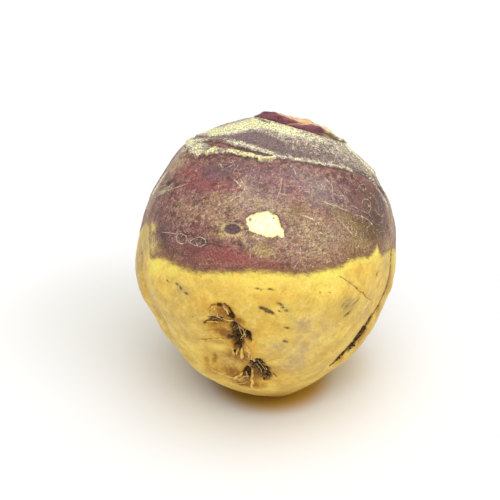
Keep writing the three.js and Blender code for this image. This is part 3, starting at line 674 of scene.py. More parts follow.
def settle(piece, slot, *nodes):
    """Makes a piece ride on the root and stand for its CAD nodes, whose meshes are hidden. The slot is not
    used.
    """
    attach(piece, BODY)
    if nodes:
        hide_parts(*nodes)


def merged_copy(node):
    """A joined-up copy of a CAD node's loose triangles, as a new object."""
    shape = bmesh.new()
    shape.from_mesh(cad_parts[node].data)
    bmesh.ops.remove_doubles(shape, verts=shape.verts, dist=MERGE_DISTANCE)
    copy = bpy.data.objects.new(node + "_copy", mesh_from(shape, node + "_copy"))
    bpy.context.scene.collection.objects.link(copy)
    return copy


def applied(source, name):
    """The evaluated mesh of an object, whose object is then removed."""
    evaluated = source.evaluated_get(bpy.context.evaluated_depsgraph_get())
    mesh = bpy.data.meshes.new_from_object(evaluated)
    mesh.name = name
    bpy.data.objects.remove(source)
    return mesh


def to_leaned(points):
    """World metres to millimetres in the leaned frame of the globe."""
    return (points - np.array(MIDDLE)) @ LEAN_ROWS / MM


def to_world(points):
    """Millimetres in the leaned frame of the globe to world metres."""
    return points @ LEAN_ROWS.T * MM + np.array(MIDDLE)


# ---- Node helpers ----


class NodeBench:
    """Adds nodes to a tree and wires them, one call for each node."""

    def __init__(self, tree):
        self.tree = tree
        tree.nodes.clear()

    def add(self, kind, inputs=None, **settings):
        node = self.tree.nodes.new(kind)
        for name, value in settings.items():
            setattr(node, name, value)
        for key, value in (inputs or {}).items():
            self.put(node.inputs[key], value)
        return node

    def put(self, socket, value):
        if isinstance(value, bpy.types.NodeSocket):
            self.tree.links.new(value, socket)
        elif socket.type == "RGBA":
            socket.default_value = (*value, 1.0)
        else:
            socket.default_value = value

    def math(self, operation, a, b=0.0, clamp=False):
        return self.add("ShaderNodeMath", {0: a, 1: b}, operation=operation, use_clamp=clamp).outputs[0]

    def plus(self, a, b):
        return self.math("ADD", a, b)

    def minus(self, a, b, clamp=False):
        return self.math("SUBTRACT", a, b, clamp)

    def times(self, a, b, clamp=False):
        return self.math("MULTIPLY", a, b, clamp)

    def most(self, a, b):
        return self.math("MAXIMUM", a, b)

    def swing(self, pattern, factor):
        """A pattern of 0 to 1 as a push to both sides of 0."""
        return self.times(self.minus(pattern, 0.5), factor)

    def vector_math(self, operation, inputs, output="Vector"):
        return self.add("ShaderNodeVectorMath", inputs, operation=operation).outputs[output]

    def scaled(self, vector, factors):
        return self.vector_math("MULTIPLY", {0: vector, 1: factors})

    def sized(self, vector, factor):
        return self.vector_math("SCALE", {0: vector, "Scale": factor})

    def centred(self, pattern):
        """A coloured pattern as a push to both sides of 0 along each axis."""
        return self.vector_math("SUBTRACT", {0: pattern, 1: (0.5, 0.5, 0.5)})

    def turned(self, vector, degrees, factors):
        """Coordinates along turned axes, each with its own factor."""
        angles = tuple(math.radians(value) for value in degrees)
        spans = tuple(1 / factor for factor in factors)
        return self.add("ShaderNodeMapping", {"Vector": vector, "Rotation": angles, "Scale": spans},
                        vector_type="TEXTURE").outputs[0]

    def noise(self, vector, scale, detail=3.0, roughness=0.6):
        return self.add("ShaderNodeTexNoise", {
            "Vector": vector, "Scale": scale, "Detail": detail, "Roughness": roughness}).outputs[0]

    def colour_noise(self, vector, scale, detail):
        return self.add("ShaderNodeTexNoise", {
            "Vector": vector, "Scale": scale, "Detail": detail}).outputs["Color"]

    def ease(self, value, low, high, out_low=0.0, out_high=1.0):
        """A soft step from one result below a value to another above a second value."""
        return self.add("ShaderNodeMapRange", {
            "Value": value, "From Min": low, "From Max": high, "To Min": out_low, "To Max": out_high,
        }, interpolation_type="SMOOTHSTEP").outputs[0]

    def blend(self, share, under, over):
        node = self.add("ShaderNodeMix", data_type="RGBA", clamp_factor=True)
        for socket, value in ((0, share), (6, under), (7, over)):
            self.put(node.inputs[socket], value)
        return node.outputs[2]

    def between(self, pattern, low, high, dark, light):
        """A colour that goes from dark to light as a pattern rises."""
        return self.blend(self.ease(pattern, low, high), dark, light)

    def layer(self, name, output="Fac"):
        """A value that the mesh stores for each vertex."""
        return self.add("ShaderNodeAttribute", attribute_name=name).outputs[output]

    def millimetres(self):
        """The object's own coordinates in millimetres."""
        return self.scaled(self.add("ShaderNodeTexCoord").outputs["Object"], (1 / MM, 1 / MM, 1 / MM))

    def bumped(self, height, strength, distance):
        return self.add("ShaderNodeBump", {
            "Height": height, "Strength": strength, "Distance": distance}).outputs[0]

    def surface(self, values):
        """Ends a material with one shader."""
        shader = self.add("ShaderNodeBsdfPrincipled", values)
        self.add("ShaderNodeOutputMaterial", {"Surface": shader.outputs[0]})


class SkinBench(NodeBench):
    """A bench for the root's skin, with the patterns that all of its finish shares."""

    def __init__(self, tree):
        super().__init__(tree)
        self.place = self.layer("grown", "Vector")
        self.flat = self.scaled(self.place, (1.0, 1.0, 2.0))
        self.fine = self.noise(self.place, 1.25, 1.0, 0.5)
        self.mid = self.noise(self.place, 0.6, 3.0, 0.62)
        self.grit = self.noise(self.place, 2.2, 1.0, 0.6)

    def flecks(self, vector, scale, size, kept):
        """Small dashes: Voronoi cells cut down to their middles, of which a share is kept."""
        cells = self.add("ShaderNodeTexVoronoi", {"Vector": vector, "Scale": scale}).outputs
        random = self.add("ShaderNodeSeparateColor", {0: cells["Color"]}).outputs[0]
        return self.times(self.ease(cells["Distance"], size, size * 0.55),
                          self.math("LESS_THAN", random, kept))

    def scratches(self, vector, scale, width, broken):
        """Hair lines along the level lines of a smooth noise, broken into stretches."""
        level = self.math("ABSOLUTE", self.minus(self.noise(vector, scale, 1.0, 0.4), 0.5))
        gaps = self.ease(self.noise(vector, scale * 2.3, 2.0), broken, broken + 0.06)
        return self.times(self.ease(level, width, width * 0.2), gaps)

    def thin_line(self, name):
        """A mask for one of the fine line layers."""
        parts = self.add("ShaderNodeSeparateXYZ", {0: self.layer(name, "Vector")}).outputs
        line = self.ease(self.math("ABSOLUTE", parts[0]), 1.25, 0.6)
        return self.times(line, self.ease(parts[1], 1.5, 0.8))

    def stained(self, colour, pattern, full, strength, stains):
        """Lays stain layers over a colour, each with its tone and the steps of its pattern."""
        for name, tone, low, high, least in stains:
            share = self.times(self.layer(name), self.ease(pattern, low, high, least, full), clamp=True)
            colour = self.blend(self.times(share, strength), colour, tone)
        return colour


def new_material(name, kind=NodeBench):
    """An empty material and the bench that fills it."""
    material = bpy.data.materials.new(name)
    material.use_nodes = True
    return material, kind(material.node_tree)


# ---- Materials ----


def purple_colour(bench, settings):
    """Maroon skin under a thin tan scurf, with soft stains of several colours and a painted sheen."""
    blend, ease, times = bench.blend, bench.ease, bench.times
    broad = bench.noise(bench.flat, 0.13, 4.0, 0.6)
    mottle = bench.noise(bench.flat, 0.28, 3.0, 0.62)
    small = bench.noise(bench.place, 0.42, 4.0, 0.66)
    threads = bench.noise(bench.turned(bench.place, (0, -28, 0), (0.5, 1.4, 1.4)), 0.8, 3.0, 0.62)
    mixed = bench.plus(times(small, 0.5), times(threads, 0.5))
    colour = bench.between(broad, 0.36, 0.62, settings.dark_purple, settings.purple)
    colour = blend(ease(small, 0.43, 0.62, 0.0, 0.85), colour, srgb(164, 122, 108))
    colour = blend(ease(mottle, 0.5, 0.68, 0.0, 0.6), colour, srgb(86, 55, 54))
    colour = bench.stained(colour, mixed, 1.0, 1.0, (
        ("pink", settings.pink, 0.4, 0.62, 0.45),
        ("dark", srgb(74, 50, 48), 0.4, 0.62, 0.5),
        ("lilac", srgb(116, 86, 92), 0.38, 0.6, 0.4),
    ))
    amount = times(bench.layer("scurf"), 0.42)
    for name, weight in (("dark", 0.16), ("pink", 0.1)):
        amount = bench.minus(amount, times(bench.layer(name), weight))
    for pattern, weight in ((small, 0.56), (threads, 0.46), (bench.mid, 0.28), (bench.fine, 0.15)):
        amount = bench.plus(amount, times(pattern, weight))
    scurf = bench.between(threads, 0.4, 0.6, srgb(152, 124, 88), settings.scurf)
    colour = blend(ease(amount, 0.7, 1.2, 0.0, 0.85), colour, scurf)
    return bench.stained(colour, mixed, 0.95, 1.0, (
        ("olive", srgb(120, 100, 42), 0.42, 0.58, 0.3),
        ("green", srgb(52, 60, 36), 0.4, 0.56, 0.3),
        # Painted sheen: a greyish cast over the purple where a broad highlight would fall.
        ("painted_sheen", srgb(150, 136, 130), 0.3, 0.9, 0.3),
        ("ochre", srgb(214, 190, 96), 0.36, 0.56, 0.3),
    ))


def pale_dashes(bench):
    """Cream dots, dashes and hair scratches in several directions."""
    # method, turn of the axes (degrees), factors along them, then the method's own measures
    dashes = (
        (bench.scratches, (0, 0, 0), (1.0, 1.0, 1.0), 0.42, 0.018, 0.5),
        (bench.scratches, (20, 30, 0), (1.0, 0.6, 1.0), 0.3, 0.014, 0.52),
        (bench.scratches, (0, 0, 0), (0.4, 0.4, 1.5), 0.16, 0.01, 0.56),
        (bench.scratches, (40, -35, 0), (1.2, 0.4, 1.2), 0.2, 0.01, 0.58),
        (bench.flecks, (0, 0, 20), (1.0, 1.0, 2.2), 0.62, 0.24, 0.34),
        (bench.flecks, (0, -50, 10), (0.42, 2.0, 2.0), 0.48, 0.2, 0.36),
        (bench.flecks, (30, 80, 0), (0.42, 2.0, 2.0), 0.44, 0.18, 0.3),
        (bench.flecks, (0, -20, 0), (0.4, 2.1, 2.1), 0.5, 0.18, 0.3),
    )
    pale = 0.0
    for method, turn, factors, *measures in dashes:
        pale = bench.most(pale, method(bench.turned(bench.place, turn, factors), *measures))
    soft = bench.ease(bench.noise(bench.place, 0.1, 2.0), 0.4, 0.6, 0.3, 1.0)
    soft = bench.minus(soft, bench.times(bench.layer("pink"), 0.5), clamp=True)
    return bench.times(bench.times(pale, soft), bench.ease(bench.mid, 0.36, 0.6, 0.2, 0.9))


def yellow_colour(bench, edge, settings):
    """Yellow skin in soft clouds with stains, smears and smudges, painted lighter near the soil line and
    painted shade near the floor.
    """
    blend, ease, times, place = bench.blend, bench.ease, bench.times, bench.place
    clouds = bench.noise(place, 0.12, 3.0, 0.55)
    patches = bench.noise(place, 0.26, 3.0, 0.58)
    pale = bench.noise(bench.turned(place, (0, 30, 0), (1.0, 1.0, 0.6)), 0.3, 3.0, 0.6)
    hatch = bench.noise(bench.turned(place, (0, -48, 37), (0.3, 2.0, 2.0)), 0.7, 2.0, 0.55)
    colour = bench.between(clouds, 0.34, 0.64, settings.deep_yellow, settings.yellow)
    # Painted light: the yellow is painted brighter towards the soil line and at the lit spots.
    lit = bench.most(ease(edge, -14.0, -3.0, 0.0, 0.7), bench.layer("lit"))
    colour = blend(times(lit, ease(patches, 0.3, 0.6, 0.7, 1.0)), colour, srgb(252, 220, 98))
    colour = bench.stained(colour, patches, 1.0, 0.7, (
        ("orange", srgb(220, 160, 40), 0.34, 0.6, 0.4),
        ("blush", srgb(190, 164, 122), 0.4, 0.6, 0.4),
        # The khaki layer is partly painted shade, on the strip outside the right furrow.
        ("khaki", srgb(176, 150, 86), 0.3, 0.5, 0.4),
    ))
    colour = blend(ease(patches, 0.48, 0.68, 0.0, 0.45), colour, srgb(196, 152, 64))
    colour = blend(ease(pale, 0.5, 0.72, 0.0, 0.4), colour, srgb(248, 222, 128))
    colour = blend(ease(bench.mid, 0.52, 0.72, 0.0, 0.3), colour, srgb(186, 144, 64))
    colour = blend(times(bench.flecks(place, 0.22, 0.16, 0.12), 0.35), colour, srgb(150, 108, 44))
    smudge = times(bench.layer("smudge"), ease(hatch, 0.4, 0.6, 0.25, 1.0), clamp=True)
    colour = blend(times(smudge, 0.7), colour, srgb(150, 130, 82))
    dirt = times(bench.layer("dirt"), ease(bench.mid, 0.34, 0.66, 1.1, 0.55))
    colour = blend(ease(dirt, 0.05, 0.7, 0.0, 0.85), colour, srgb(182, 130, 8))
    colour = blend(ease(dirt, 0.5, 1.3, 0.0, 0.9), colour, srgb(138, 86, 0))
    # Painted shade: the yellow turns deep gold near the floor.
    return blend(times(bench.layer("low"), 0.9), colour, srgb(152, 100, 8))


def two_tones(bench, edge, pale, settings):
    """Purple over yellow, with olive over the soil line and a bright band just under it."""
    blend, ease, times, layer = bench.blend, bench.ease, bench.times, bench.layer
    purple = blend(pale, purple_colour(bench, settings), srgb(214, 186, 156))
    # The pale lines include a painted glint on the oval scar.
    lines = times(bench.thin_line("pale_line"), ease(bench.mid, 0.4, 0.6, 0.3, 0.75))
    purple = blend(lines, purple, srgb(222, 200, 168))
    sound = bench.minus(1.0, layer("ochre"), clamp=True)
    purple = blend(times(sound, ease(edge, 11.0, 1.0, 0.0, 0.42)), purple, srgb(134, 84, 54))
    purple = blend(times(sound, ease(edge, 2.4, 0.2, 0.0, 0.6)), purple, srgb(126, 96, 44))
    uneven = ease(bench.noise(bench.flat, 0.22, 2.0), 0.42, 0.62, 0.1, 0.7)
    bright = bench.most(times(ease(edge, -3.6, -0.8), uneven), layer("halo"))
    bright = bench.minus(bright, layer("khaki"), clamp=True)
    yellow = blend(times(bright, 0.8), yellow_colour(bench, edge, settings), settings.halo)
    faded = bench.plus(edge, times(layer("ochre"), 2.5))
    return blend(ease(faded, -1.8, 1.3), yellow, purple)


def corked(bench, colour, cork, above, settings):
    """Dry cork near the crown: a speckle of cream that thickens with its layer. Also its share."""
    blend, ease, times, plus = bench.blend, bench.ease, bench.times, bench.plus
    dull = bench.most(above, times(ease(cork, 0.02, 0.5), 0.8))
    colour = blend(dull, colour, srgb(122, 104, 100))
    speckle = plus(plus(times(bench.grit, 0.5), times(bench.mid, 0.5)), times(cork, 0.2))
    covered = times(ease(speckle, 0.48, 0.72), ease(cork, 0.02, 0.2))
    colour = blend(times(covered, 0.85), colour, settings.cream)
    thick = plus(cork, bench.swing(bench.mid, 1.0))
    thick_tone = bench.between(bench.grit, 0.34, 0.6, srgb(192, 182, 128), srgb(242, 238, 184))
    colour = blend(ease(thick, 0.6, 1.15, 0.0, 0.8), colour, thick_tone)
    flake = plus(bench.layer("flake"), bench.swing(bench.fine, 1.6))
    flake_tone = bench.between(bench.mid, 0.36, 0.62, srgb(206, 188, 126), srgb(244, 234, 178))
    return blend(ease(flake, 0.4, 0.62), colour, flake_tone), covered


def marked(bench, colour, edge):
    """A painted shadow under each leaf scar, the fine dark lines, some of them painted shadow, and the oval
    scar.
    """
    blend, ease, times = bench.blend, bench.ease, bench.times
    # Painted shadow: a dark band just under the ledge of each leaf scar.
    scar = bench.plus(bench.layer("scar"), bench.swing(bench.mid, 1.6))
    under = times(ease(scar, -1.5, -0.6), ease(scar, 0.1, -0.3))
    colour = blend(times(under, 0.45), colour, srgb(66, 46, 44))
    # Some of the fine dark lines are painted shadow under ledges.
    lines = times(bench.thin_line("dark_line"), ease(bench.mid, 0.36, 0.56, 0.3, 0.85))
    colour = blend(lines, colour, bench.between(edge, -1.0, 1.0, srgb(134, 96, 36), srgb(70, 56, 40)))
    oval = bench.layer("oval")
    margin = times(ease(oval, -0.9, -0.3), ease(oval, 0.25, 0.0))
    margin = times(margin, ease(bench.mid, 0.4, 0.56, 0.3, 0.8))
    colour = blend(margin, colour, srgb(192, 170, 118))
    return blend(ease(oval, 0.05, 0.35, 0.0, 0.9), colour, srgb(90, 68, 70))


def bared(bench, colour):
    """Cream bare patches and dark strokes, both with a wobbly edge. Also the patches' share."""
    blend, ease, times, plus = bench.blend, bench.ease, bench.times, bench.plus
    wobble = plus(bench.swing(bench.fine, 1.0), bench.swing(bench.mid, 1.6))
    bare = plus(bench.layer("bare"), times(wobble, 0.6))
    tone = bench.between(bare, 0.2, 1.6, srgb(238, 232, 160), srgb(250, 247, 200))
    tone = blend(ease(bench.mid, 0.5, 0.7, 0.0, 0.4), tone, srgb(236, 228, 158))
    tone = blend(bench.flecks(bench.place, 0.3, 0.15, 0.14), tone, srgb(136, 124, 60))
    share = ease(bare, -0.15, 0.2)
    colour = blend(share, colour, tone)
    stroke = times(bench.layer("stroke"), plus(1.0, times(wobble, 1.4)))
    colour = blend(ease(stroke, 0.0, 0.6, 0.0, 0.8), colour, srgb(156, 122, 50))
    return blend(ease(stroke, 0.34, 0.95, 0.0, 0.88), colour, srgb(72, 54, 18)), share


def soiled(bench, colour):
    """The dry crown disc and the soil in the pits. Also the soil's share."""
    blend, ease, times = bench.blend, bench.ease, bench.times
    disc_tone = bench.between(bench.mid, 0.35, 0.65, srgb(120, 92, 62), srgb(196, 170, 122))
    colour = blend(ease(bench.layer("disc"), -0.6, 0.8), colour, disc_tone)
    soil = times(bench.layer("soil"), ease(bench.mid, 0.3, 0.7, 0.6, 1.4))
    colour = blend(times(ease(soil, 0.08, 0.36), 0.85), colour, srgb(122, 78, 18))
    share = ease(soil, 0.34, 0.56)
    soil_tone = bench.between(bench.fine, 0.4, 0.6, srgb(34, 18, 6), srgb(132, 98, 54))
    return blend(share, colour, soil_tone), share


def grained(bench, colour, edge, above, cork, bare, soil):
    """A small grain of light and hue over everything but the soil."""
    ease, times, plus = bench.ease, bench.times, bench.plus
    grains = plus(times(bench.noise(bench.place, 2.1, 0.0), 0.5), times(bench.fine, 0.5))
    strength = times(ease(edge, -2.0, 2.0, 0.1, 0.62), ease(bare, 0.0, 1.0, 1.0, 0.15))
    strength = plus(strength, bench.most(times(above, 0.6), ease(cork, 0.1, 0.5, 0.0, 0.3)))
    shade = plus(1.0, bench.swing(ease(grains, 0.36, 0.64), strength))
    colour = bench.sized(colour, bench.most(shade, soil))
    hues = bench.centred(bench.colour_noise(bench.place, 0.8, 2.0))
    hues = bench.sized(bench.scaled(hues, (0.3, 0.5, 1.4)), ease(edge, -2.0, 2.0, 0.4, 1.0))
    return bench.vector_math("MULTIPLY_ADD", {0: hues, 1: colour, 2: colour})


def skin_material(settings):
    """Waxy root skin: purple over yellow, corky cream round the crown, bare patches and soil."""
    material, bench = new_material("root_skin", SkinBench)
    ease, times, plus, minus = bench.ease, bench.times, bench.plus, bench.minus
    cork = bench.layer("cork")
    above = times(ease(bench.layer("scar"), 0.0, 1.5), 0.6)
    ragged = plus(bench.swing(bench.noise(bench.flat, 0.4, 4.0, 0.62), 4.0), bench.swing(bench.fine, 1.6))
    edge = plus(bench.layer("over_soil"), ragged)
    pale = pale_dashes(bench)
    colour = two_tones(bench, edge, pale, settings)
    colour, covered = corked(bench, colour, cork, above, settings)
    colour, bare = bared(bench, marked(bench, colour, edge))
    colour, soil = soiled(bench, colour)
    colour = grained(bench, colour, edge, above, cork, bare, soil)

    rough = ease(bench.mid, 0.3, 0.7, settings.gloss_rough, settings.gloss_rough + 0.16)
    rough = plus(rough, times(ease(cork, 0.1, 0.8), 0.22))
    relief = plus(times(bench.fine, 0.4), times(bench.mid, 0.8))
    relief = minus(plus(relief, times(covered, 0.2)), times(pale, 0.25))
    relief = minus(times(relief, ease(bare, 0.0, 1.0, 1.0, 0.4)), times(bare, 0.4))
    bench.surface({
        "Base Color": colour, "Roughness": bench.most(rough, times(soil, 0.95)),
        "Normal": bench.bumped(relief, 0.7, settings.fine_relief), "Specular IOR Level": 0.4,
        "Subsurface Weight": 0.06, "Subsurface Scale": 0.002,
    })
    return material


def leaf_base_material(settings):
    """Purple rind with a pale cut face, brown along its inner edge."""
    material, bench = new_material("leaf_base")
    blend, ease, times, plus = bench.blend, bench.ease, bench.times, bench.plus
    along = bench.layer("along", "Vector")
    ribs = bench.noise(bench.scaled(along, (0.22, 1.3, 1.0)), 1.0, 4.0, 0.65)
    fine = bench.noise(bench.layer("grown", "Vector"), 1.4, 3.0, 0.7)
    dry = bench.layer("dry")
    rind = bench.between(ribs, 0.36, 0.64, settings.rind_dark, settings.rind)
    rind = blend(times(ease(fine, 0.5, 0.68), 0.5), rind, srgb(176, 118, 112))
    rind = blend(dry, rind, bench.between(ribs, 0.4, 0.6, srgb(132, 112, 74), srgb(206, 194, 146)))
    flesh = bench.between(ribs, 0.38, 0.62, srgb(210, 160, 106), srgb(232, 198, 146))
    flesh = blend(times(dry, 0.8), flesh, srgb(236, 226, 184))
    cut = plus(bench.layer("cut"), bench.swing(fine, 0.35))
    colour = blend(ease(cut, 0.42, 0.6), rind, flesh)
    rim = times(ease(cut, 0.12, 0.35), ease(cut, 0.62, 0.42))
    colour = blend(times(rim, 0.55), colour, srgb(206, 160, 140))
    radius = bench.add("ShaderNodeSeparateXYZ", {0: along}).outputs[2]
    inner = times(ease(cut, 0.3, 0.7), ease(plus(radius, fine), 16.9, 16.3))
    colour = blend(times(inner, 0.8), colour, srgb(120, 80, 44))
    rough = bench.most(ease(fine, 0.3, 0.7, 0.26, 0.42), ease(plus(cut, dry), 0.3, 0.7, 0.0, 0.6))
    normal = bench.bumped(plus(ribs, times(fine, 0.4)), 0.6, 0.0005)
    bench.surface({"Base Color": colour, "Roughness": rough, "Normal": normal})
    return material


def dry_material(name, dark, light, scale, bump_depth):
    """Dry fibrous tissue in two tones."""
    material, bench = new_material(name)
    fibres = bench.noise(bench.millimetres(), scale, 4.0, 0.7)
    bench.surface({
        "Base Color": bench.between(fibres, 0.34, 0.66, dark, light),
        "Roughness": bench.ease(fibres, 0.3, 0.7, 0.6, 0.9),
        "Normal": bench.bumped(fibres, 0.7, bump_depth), "Specular IOR Level": 0.2,
    })
    return material


def rootlet_material():
    """Yellow to straw-coloured side roots with darker fibres."""
    material, bench = new_material("rootlet")
    fibres = bench.noise(bench.millimetres(), 0.9, 4.0, 0.7)
    yellow = bench.between(fibres, 0.34, 0.6, srgb(190, 140, 44), srgb(236, 198, 84))
    straw = bench.between(fibres, 0.34, 0.6, srgb(176, 142, 88), srgb(230, 204, 140))
    bench.surface({
        "Base Color": bench.blend(bench.layer("paleness"), yellow, straw),
        "Roughness": bench.ease(fibres, 0.3, 0.7, 0.45, 0.7),
        "Normal": bench.bumped(fibres, 0.4, 0.0002),
    })
    return material


# ---- Skin of the root ----


def unit(rows):
    """Rows of vectors, each brought to a length of 1."""
    return rows / np.linalg.norm(rows, axis=1)[:, None]


def quad_globe(cuts, front_pull, focus_pull):
    """A closed sheet of quads round a unit globe, closer together at the front and the pits."""
    shape = bmesh.new()
    bmesh.ops.create_cube(shape, size=2.0)
    bmesh.ops.subdivide_edges(shape, edges=shape.edges[:], cuts=cuts, use_grid_fill=True)
    mesh = mesh_from(shape, "root_skin")
    ways = unit(np.tan(coordinates(mesh) * math.pi / 4))
    ways = unit(ways + front_pull * FRONT_SIDE)
    for place in FOCUS_PLACES:
        way = LEAN_ROWS @ direction(*place)
        near = np.exp(-np.sum((ways - way) ** 2, axis=1) / FOCUS_REACH)
        ways = unit(ways - focus_pull * near[:, None] * (ways - way))
    return mesh, ways


def root_distances(ways):
    """Metres from the middle of the globe to the CAD root along each world direction."""
    tree = surface_tree(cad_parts["root_body"].data)
    return np.array([tree.ray_cast(MIDDLE, Vector(way))[3] for way in ways])


def scar_height(ways):
    """Signed millimetres to the nearest leaf scar, positive on its crown side."""
    best = np.full(len(ways), FAR)
    azimuth, latitude = azimuth_of(ways), latitude_of(ways)
    for line in LEAF_SCARS:
        turns = np.array([place[0] for place in line])
        if turns[0] > turns[-1]:
            line, turns = line[::-1], turns[::-1]
        middle = (turns[0] + turns[-1]) / 2
        wrapped = middle + (azimuth - middle + 180) % 360 - 180
        level = np.interp(wrapped, turns, [place[1] for place in line])
        signed = np.where(latitude > level, 1, -1) * line_distance(ways, line)
        best = np.where(np.abs(signed) < np.abs(best), signed, best)
    return best


def cork_field(ways, scar, dark):
    """How thick the dry cork is: some over the scars and the crown, more along its bands."""
    azimuth, latitude = azimuth_of(ways), latitude_of(ways)
    cork = 0.3 * smooth_step(scar, -0.4, 1.2) * smooth_step(latitude, 38, 44)
    cork += 0.2 * smooth_step(latitude, 54, 68)
    cork += 0.12 * smooth_step(azimuth, 10, 60) * smooth_step(latitude, 42, 56)
    for places, width, strength in CORK_BANDS:
        cork += strength * soft_line(ways, places, width)
    return cork - 0.32 * dark * smooth_step(latitude, 44, 48)


def oval_depth(ways):
    """Millimetres inside the nearest oval scar, negative outside it."""
    ovals = []
    for azimuth, latitude, half_width, half_height, turn in OVAL_SCARS:
        across, up = flat_map(ways, azimuth, latitude, turn)
        ovals.append((1 - np.hypot(across / half_width, up / half_height)) * min(half_width, half_height))
    return np.max(ovals, axis=0)


def skin_fields(ways, grown):
    """Everything the skin's finish and relief need, one value for each vertex."""
    line = np.array(SOIL_LINE)
    soil_latitude = np.interp(azimuth_of(ways), line[:, 0], line[:, 1])
    fields = {"over_soil": (latitude_of(ways) - soil_latitude) * math.radians(GLOBE)}
    for name, stains in STAINS.items():
        fields[name] = soft_spots(ways, stains)
    fields["scar"] = scar_height(ways)
    fields["cork"] = cork_field(ways, fields["scar"], fields["dark"])
    fields["flake"] = np.max([
        strength * soft_line(ways, places, width) for places, width, strength in FLAKES], axis=0)
    fields["bare"] = np.max([patch_depth(ways, *patch) for patch in BARE_PATCHES.values()], axis=0)
    fields["stroke"] = sum(soft_spot(ways, *stroke) for stroke in STROKES)
    fields["pale_line"] = line_layer(ways, PALE_LINES)
    fields["dark_line"] = line_layer(ways, DARK_LINES)
    fields["oval"] = oval_depth(ways)
    pits = np.max([soft_spot(ways, *pit[:5]) for pit in PITS], axis=0)
    grooves = np.max([soiled * soft_line(ways, path, width) for path, width, _, soiled in FURROWS], axis=0)
    fields["soil"] = np.maximum(pits, grooves)
    # Painted shade: 1 near the floor, fading to 0 over the low band.
    fields["low"] = 1 - smooth_step(to_world(grown)[:, 2] / MM, *LOW_SHADE_BAND)
    off_axis = np.hypot(grown[:, 0] - CROWN_MIDDLE[0], grown[:, 1])
    fields["disc"] = np.where(grown[:, 2] > CROWN_FROM, CROWN_RADIUS - 1.0 - off_axis, -FAR)
    return fields


def skin_relief(ways, grown, fields, settings):
    """Millimetres that the skin stands out from the CAD root."""
    rise = settings.lumps / MM * grain(grown, 16.0, 2) + 0.3 * settings.lumps / MM * grain(grown, 5.0, 2, 7.0)
    rise += settings.wrinkles / MM * grain(grown, 1.6, 3, 3.0)
    ragged = RELIEF["ragged"] * grain(grown, 1.8, 2, 21.0)
    dents = [pit[5] * smooth_step(soft_spot(ways, *pit[:5]) + ragged, 0.12, 0.72) for pit in PITS]
    dents += [depth * soft_line(ways, path, width) for path, width, depth, _ in FURROWS]
    rise -= np.max(dents, axis=0)
    for swell in SWELLS:
        rise -= swell[5] * soft_spot(ways, *swell[:5])
    for path, width, height in RIDGES:
        rise += height * soft_line(ways, path, width)
    soil = smooth_step(fields["soil"], 0.35, 0.8)
    rise += soil * RELIEF["soil"] * grain(grown, 1.5, 3, 5.0)
    rise += RELIEF["dirt"] * np.clip(fields["dirt"], 0, 1) * (1 - soil) * grain(grown, 2.0, 3, 31.0)
    scar = fields["scar"] + 0.7 * grain(grown, 3.0, 2, 11.0)
    rise += RELIEF["scar"] * smooth_step(scar, -0.5, 0.4) * np.exp(-np.clip(scar, 0, None) / 2.5)
    rise -= RELIEF["under_scar"] * np.exp(-(((scar + 0.9) / 0.9) ** 2))
    rise -= RELIEF["bare"] * smooth_step(fields["bare"], -0.4, 0.5)
    rise += RELIEF["flake"] * np.clip(fields["flake"], 0, 1) * (1 + grain(grown, 1.4, 2, 17.0))
    rise += RELIEF["pale_line"] * np.exp(-((fields["pale_line"][:, 1] / 0.6) ** 2))
    rise -= RELIEF["dark_line"] * np.exp(-((fields["dark_line"][:, 1] / 0.6) ** 2))
    rise -= RELIEF["oval"] * smooth_step(fields["oval"], -0.2, 0.9)
    rise -= RELIEF["stroke"] * fields["stroke"]
    rise += RELIEF["collar"] * np.exp(-(((fields["disc"] + 0.5) / 1.6) ** 2))
    return rise


def build_skin(settings):
    mesh, ways = quad_globe(settings.grid_cuts, settings.front_pull, settings.focus_pull)
    distance = relax(root_distances(ways), edges(mesh), settings.smoothing) / MM
    leaned = ways @ LEAN_ROWS
    grown = leaned * distance[:, None]
    fields = skin_fields(leaned, grown)
    distance += skin_relief(leaned, grown, fields, settings)
    points = to_world(leaned * distance[:, None])
    points[:, 2] = np.maximum(points[:, 2], CAD_LOW.z)
    set_coordinates(mesh, points)
    store(mesh, "grown", to_leaned(points))
    for name, values in fields.items():
        store(mesh, name, values)
    settle(add_object("root_skin", mesh, skin_material(settings)), "root_skin", "root_body")


# ---- Crown: leaf bases and heart ----


def crown_frame(grown):
    """Millimetres in the frame of the crown disc, whose +Z leaves the root."""
    c, s = math.cos(CROWN_TIP), math.sin(CROWN_TIP)
    x, y, z = (grown - CROWN_MIDDLE).T
    return np.stack((x * c - z * s, y, x * s + z * c), axis=1)


def from_crown(points):
    """The way back from the crown disc's frame to the leaned frame."""
    c, s = math.cos(CROWN_TIP), math.sin(CROWN_TIP)
    x, y, z = points.T
    return np.stack((x * c + z * s, y, z * c - x * s), axis=1) + CROWN_MIDDLE


def remeshed(node, voxel, name):
    """A CAD node's shape as one closed skin of small even quads."""
    copy = merged_copy(node)
    remesh = copy.modifiers.new("even", "REMESH")
    remesh.mode = "VOXEL"
    remesh.voxel_size = voxel
    soften = copy.modifiers.new("soften", "SMOOTH")
    soften.factor = 0.5
    soften.iterations = 3
    return applied(copy, name)


def rounded(loops):
    """Cuts the corners of closed loops, which doubles their points."""
    ahead = np.roll(loops, -1, axis=1)
    cut = np.stack((0.75 * loops + 0.25 * ahead, 0.25 * loops + 0.75 * ahead), axis=2)
    return cut.reshape(len(loops), -1, loops.shape[2])


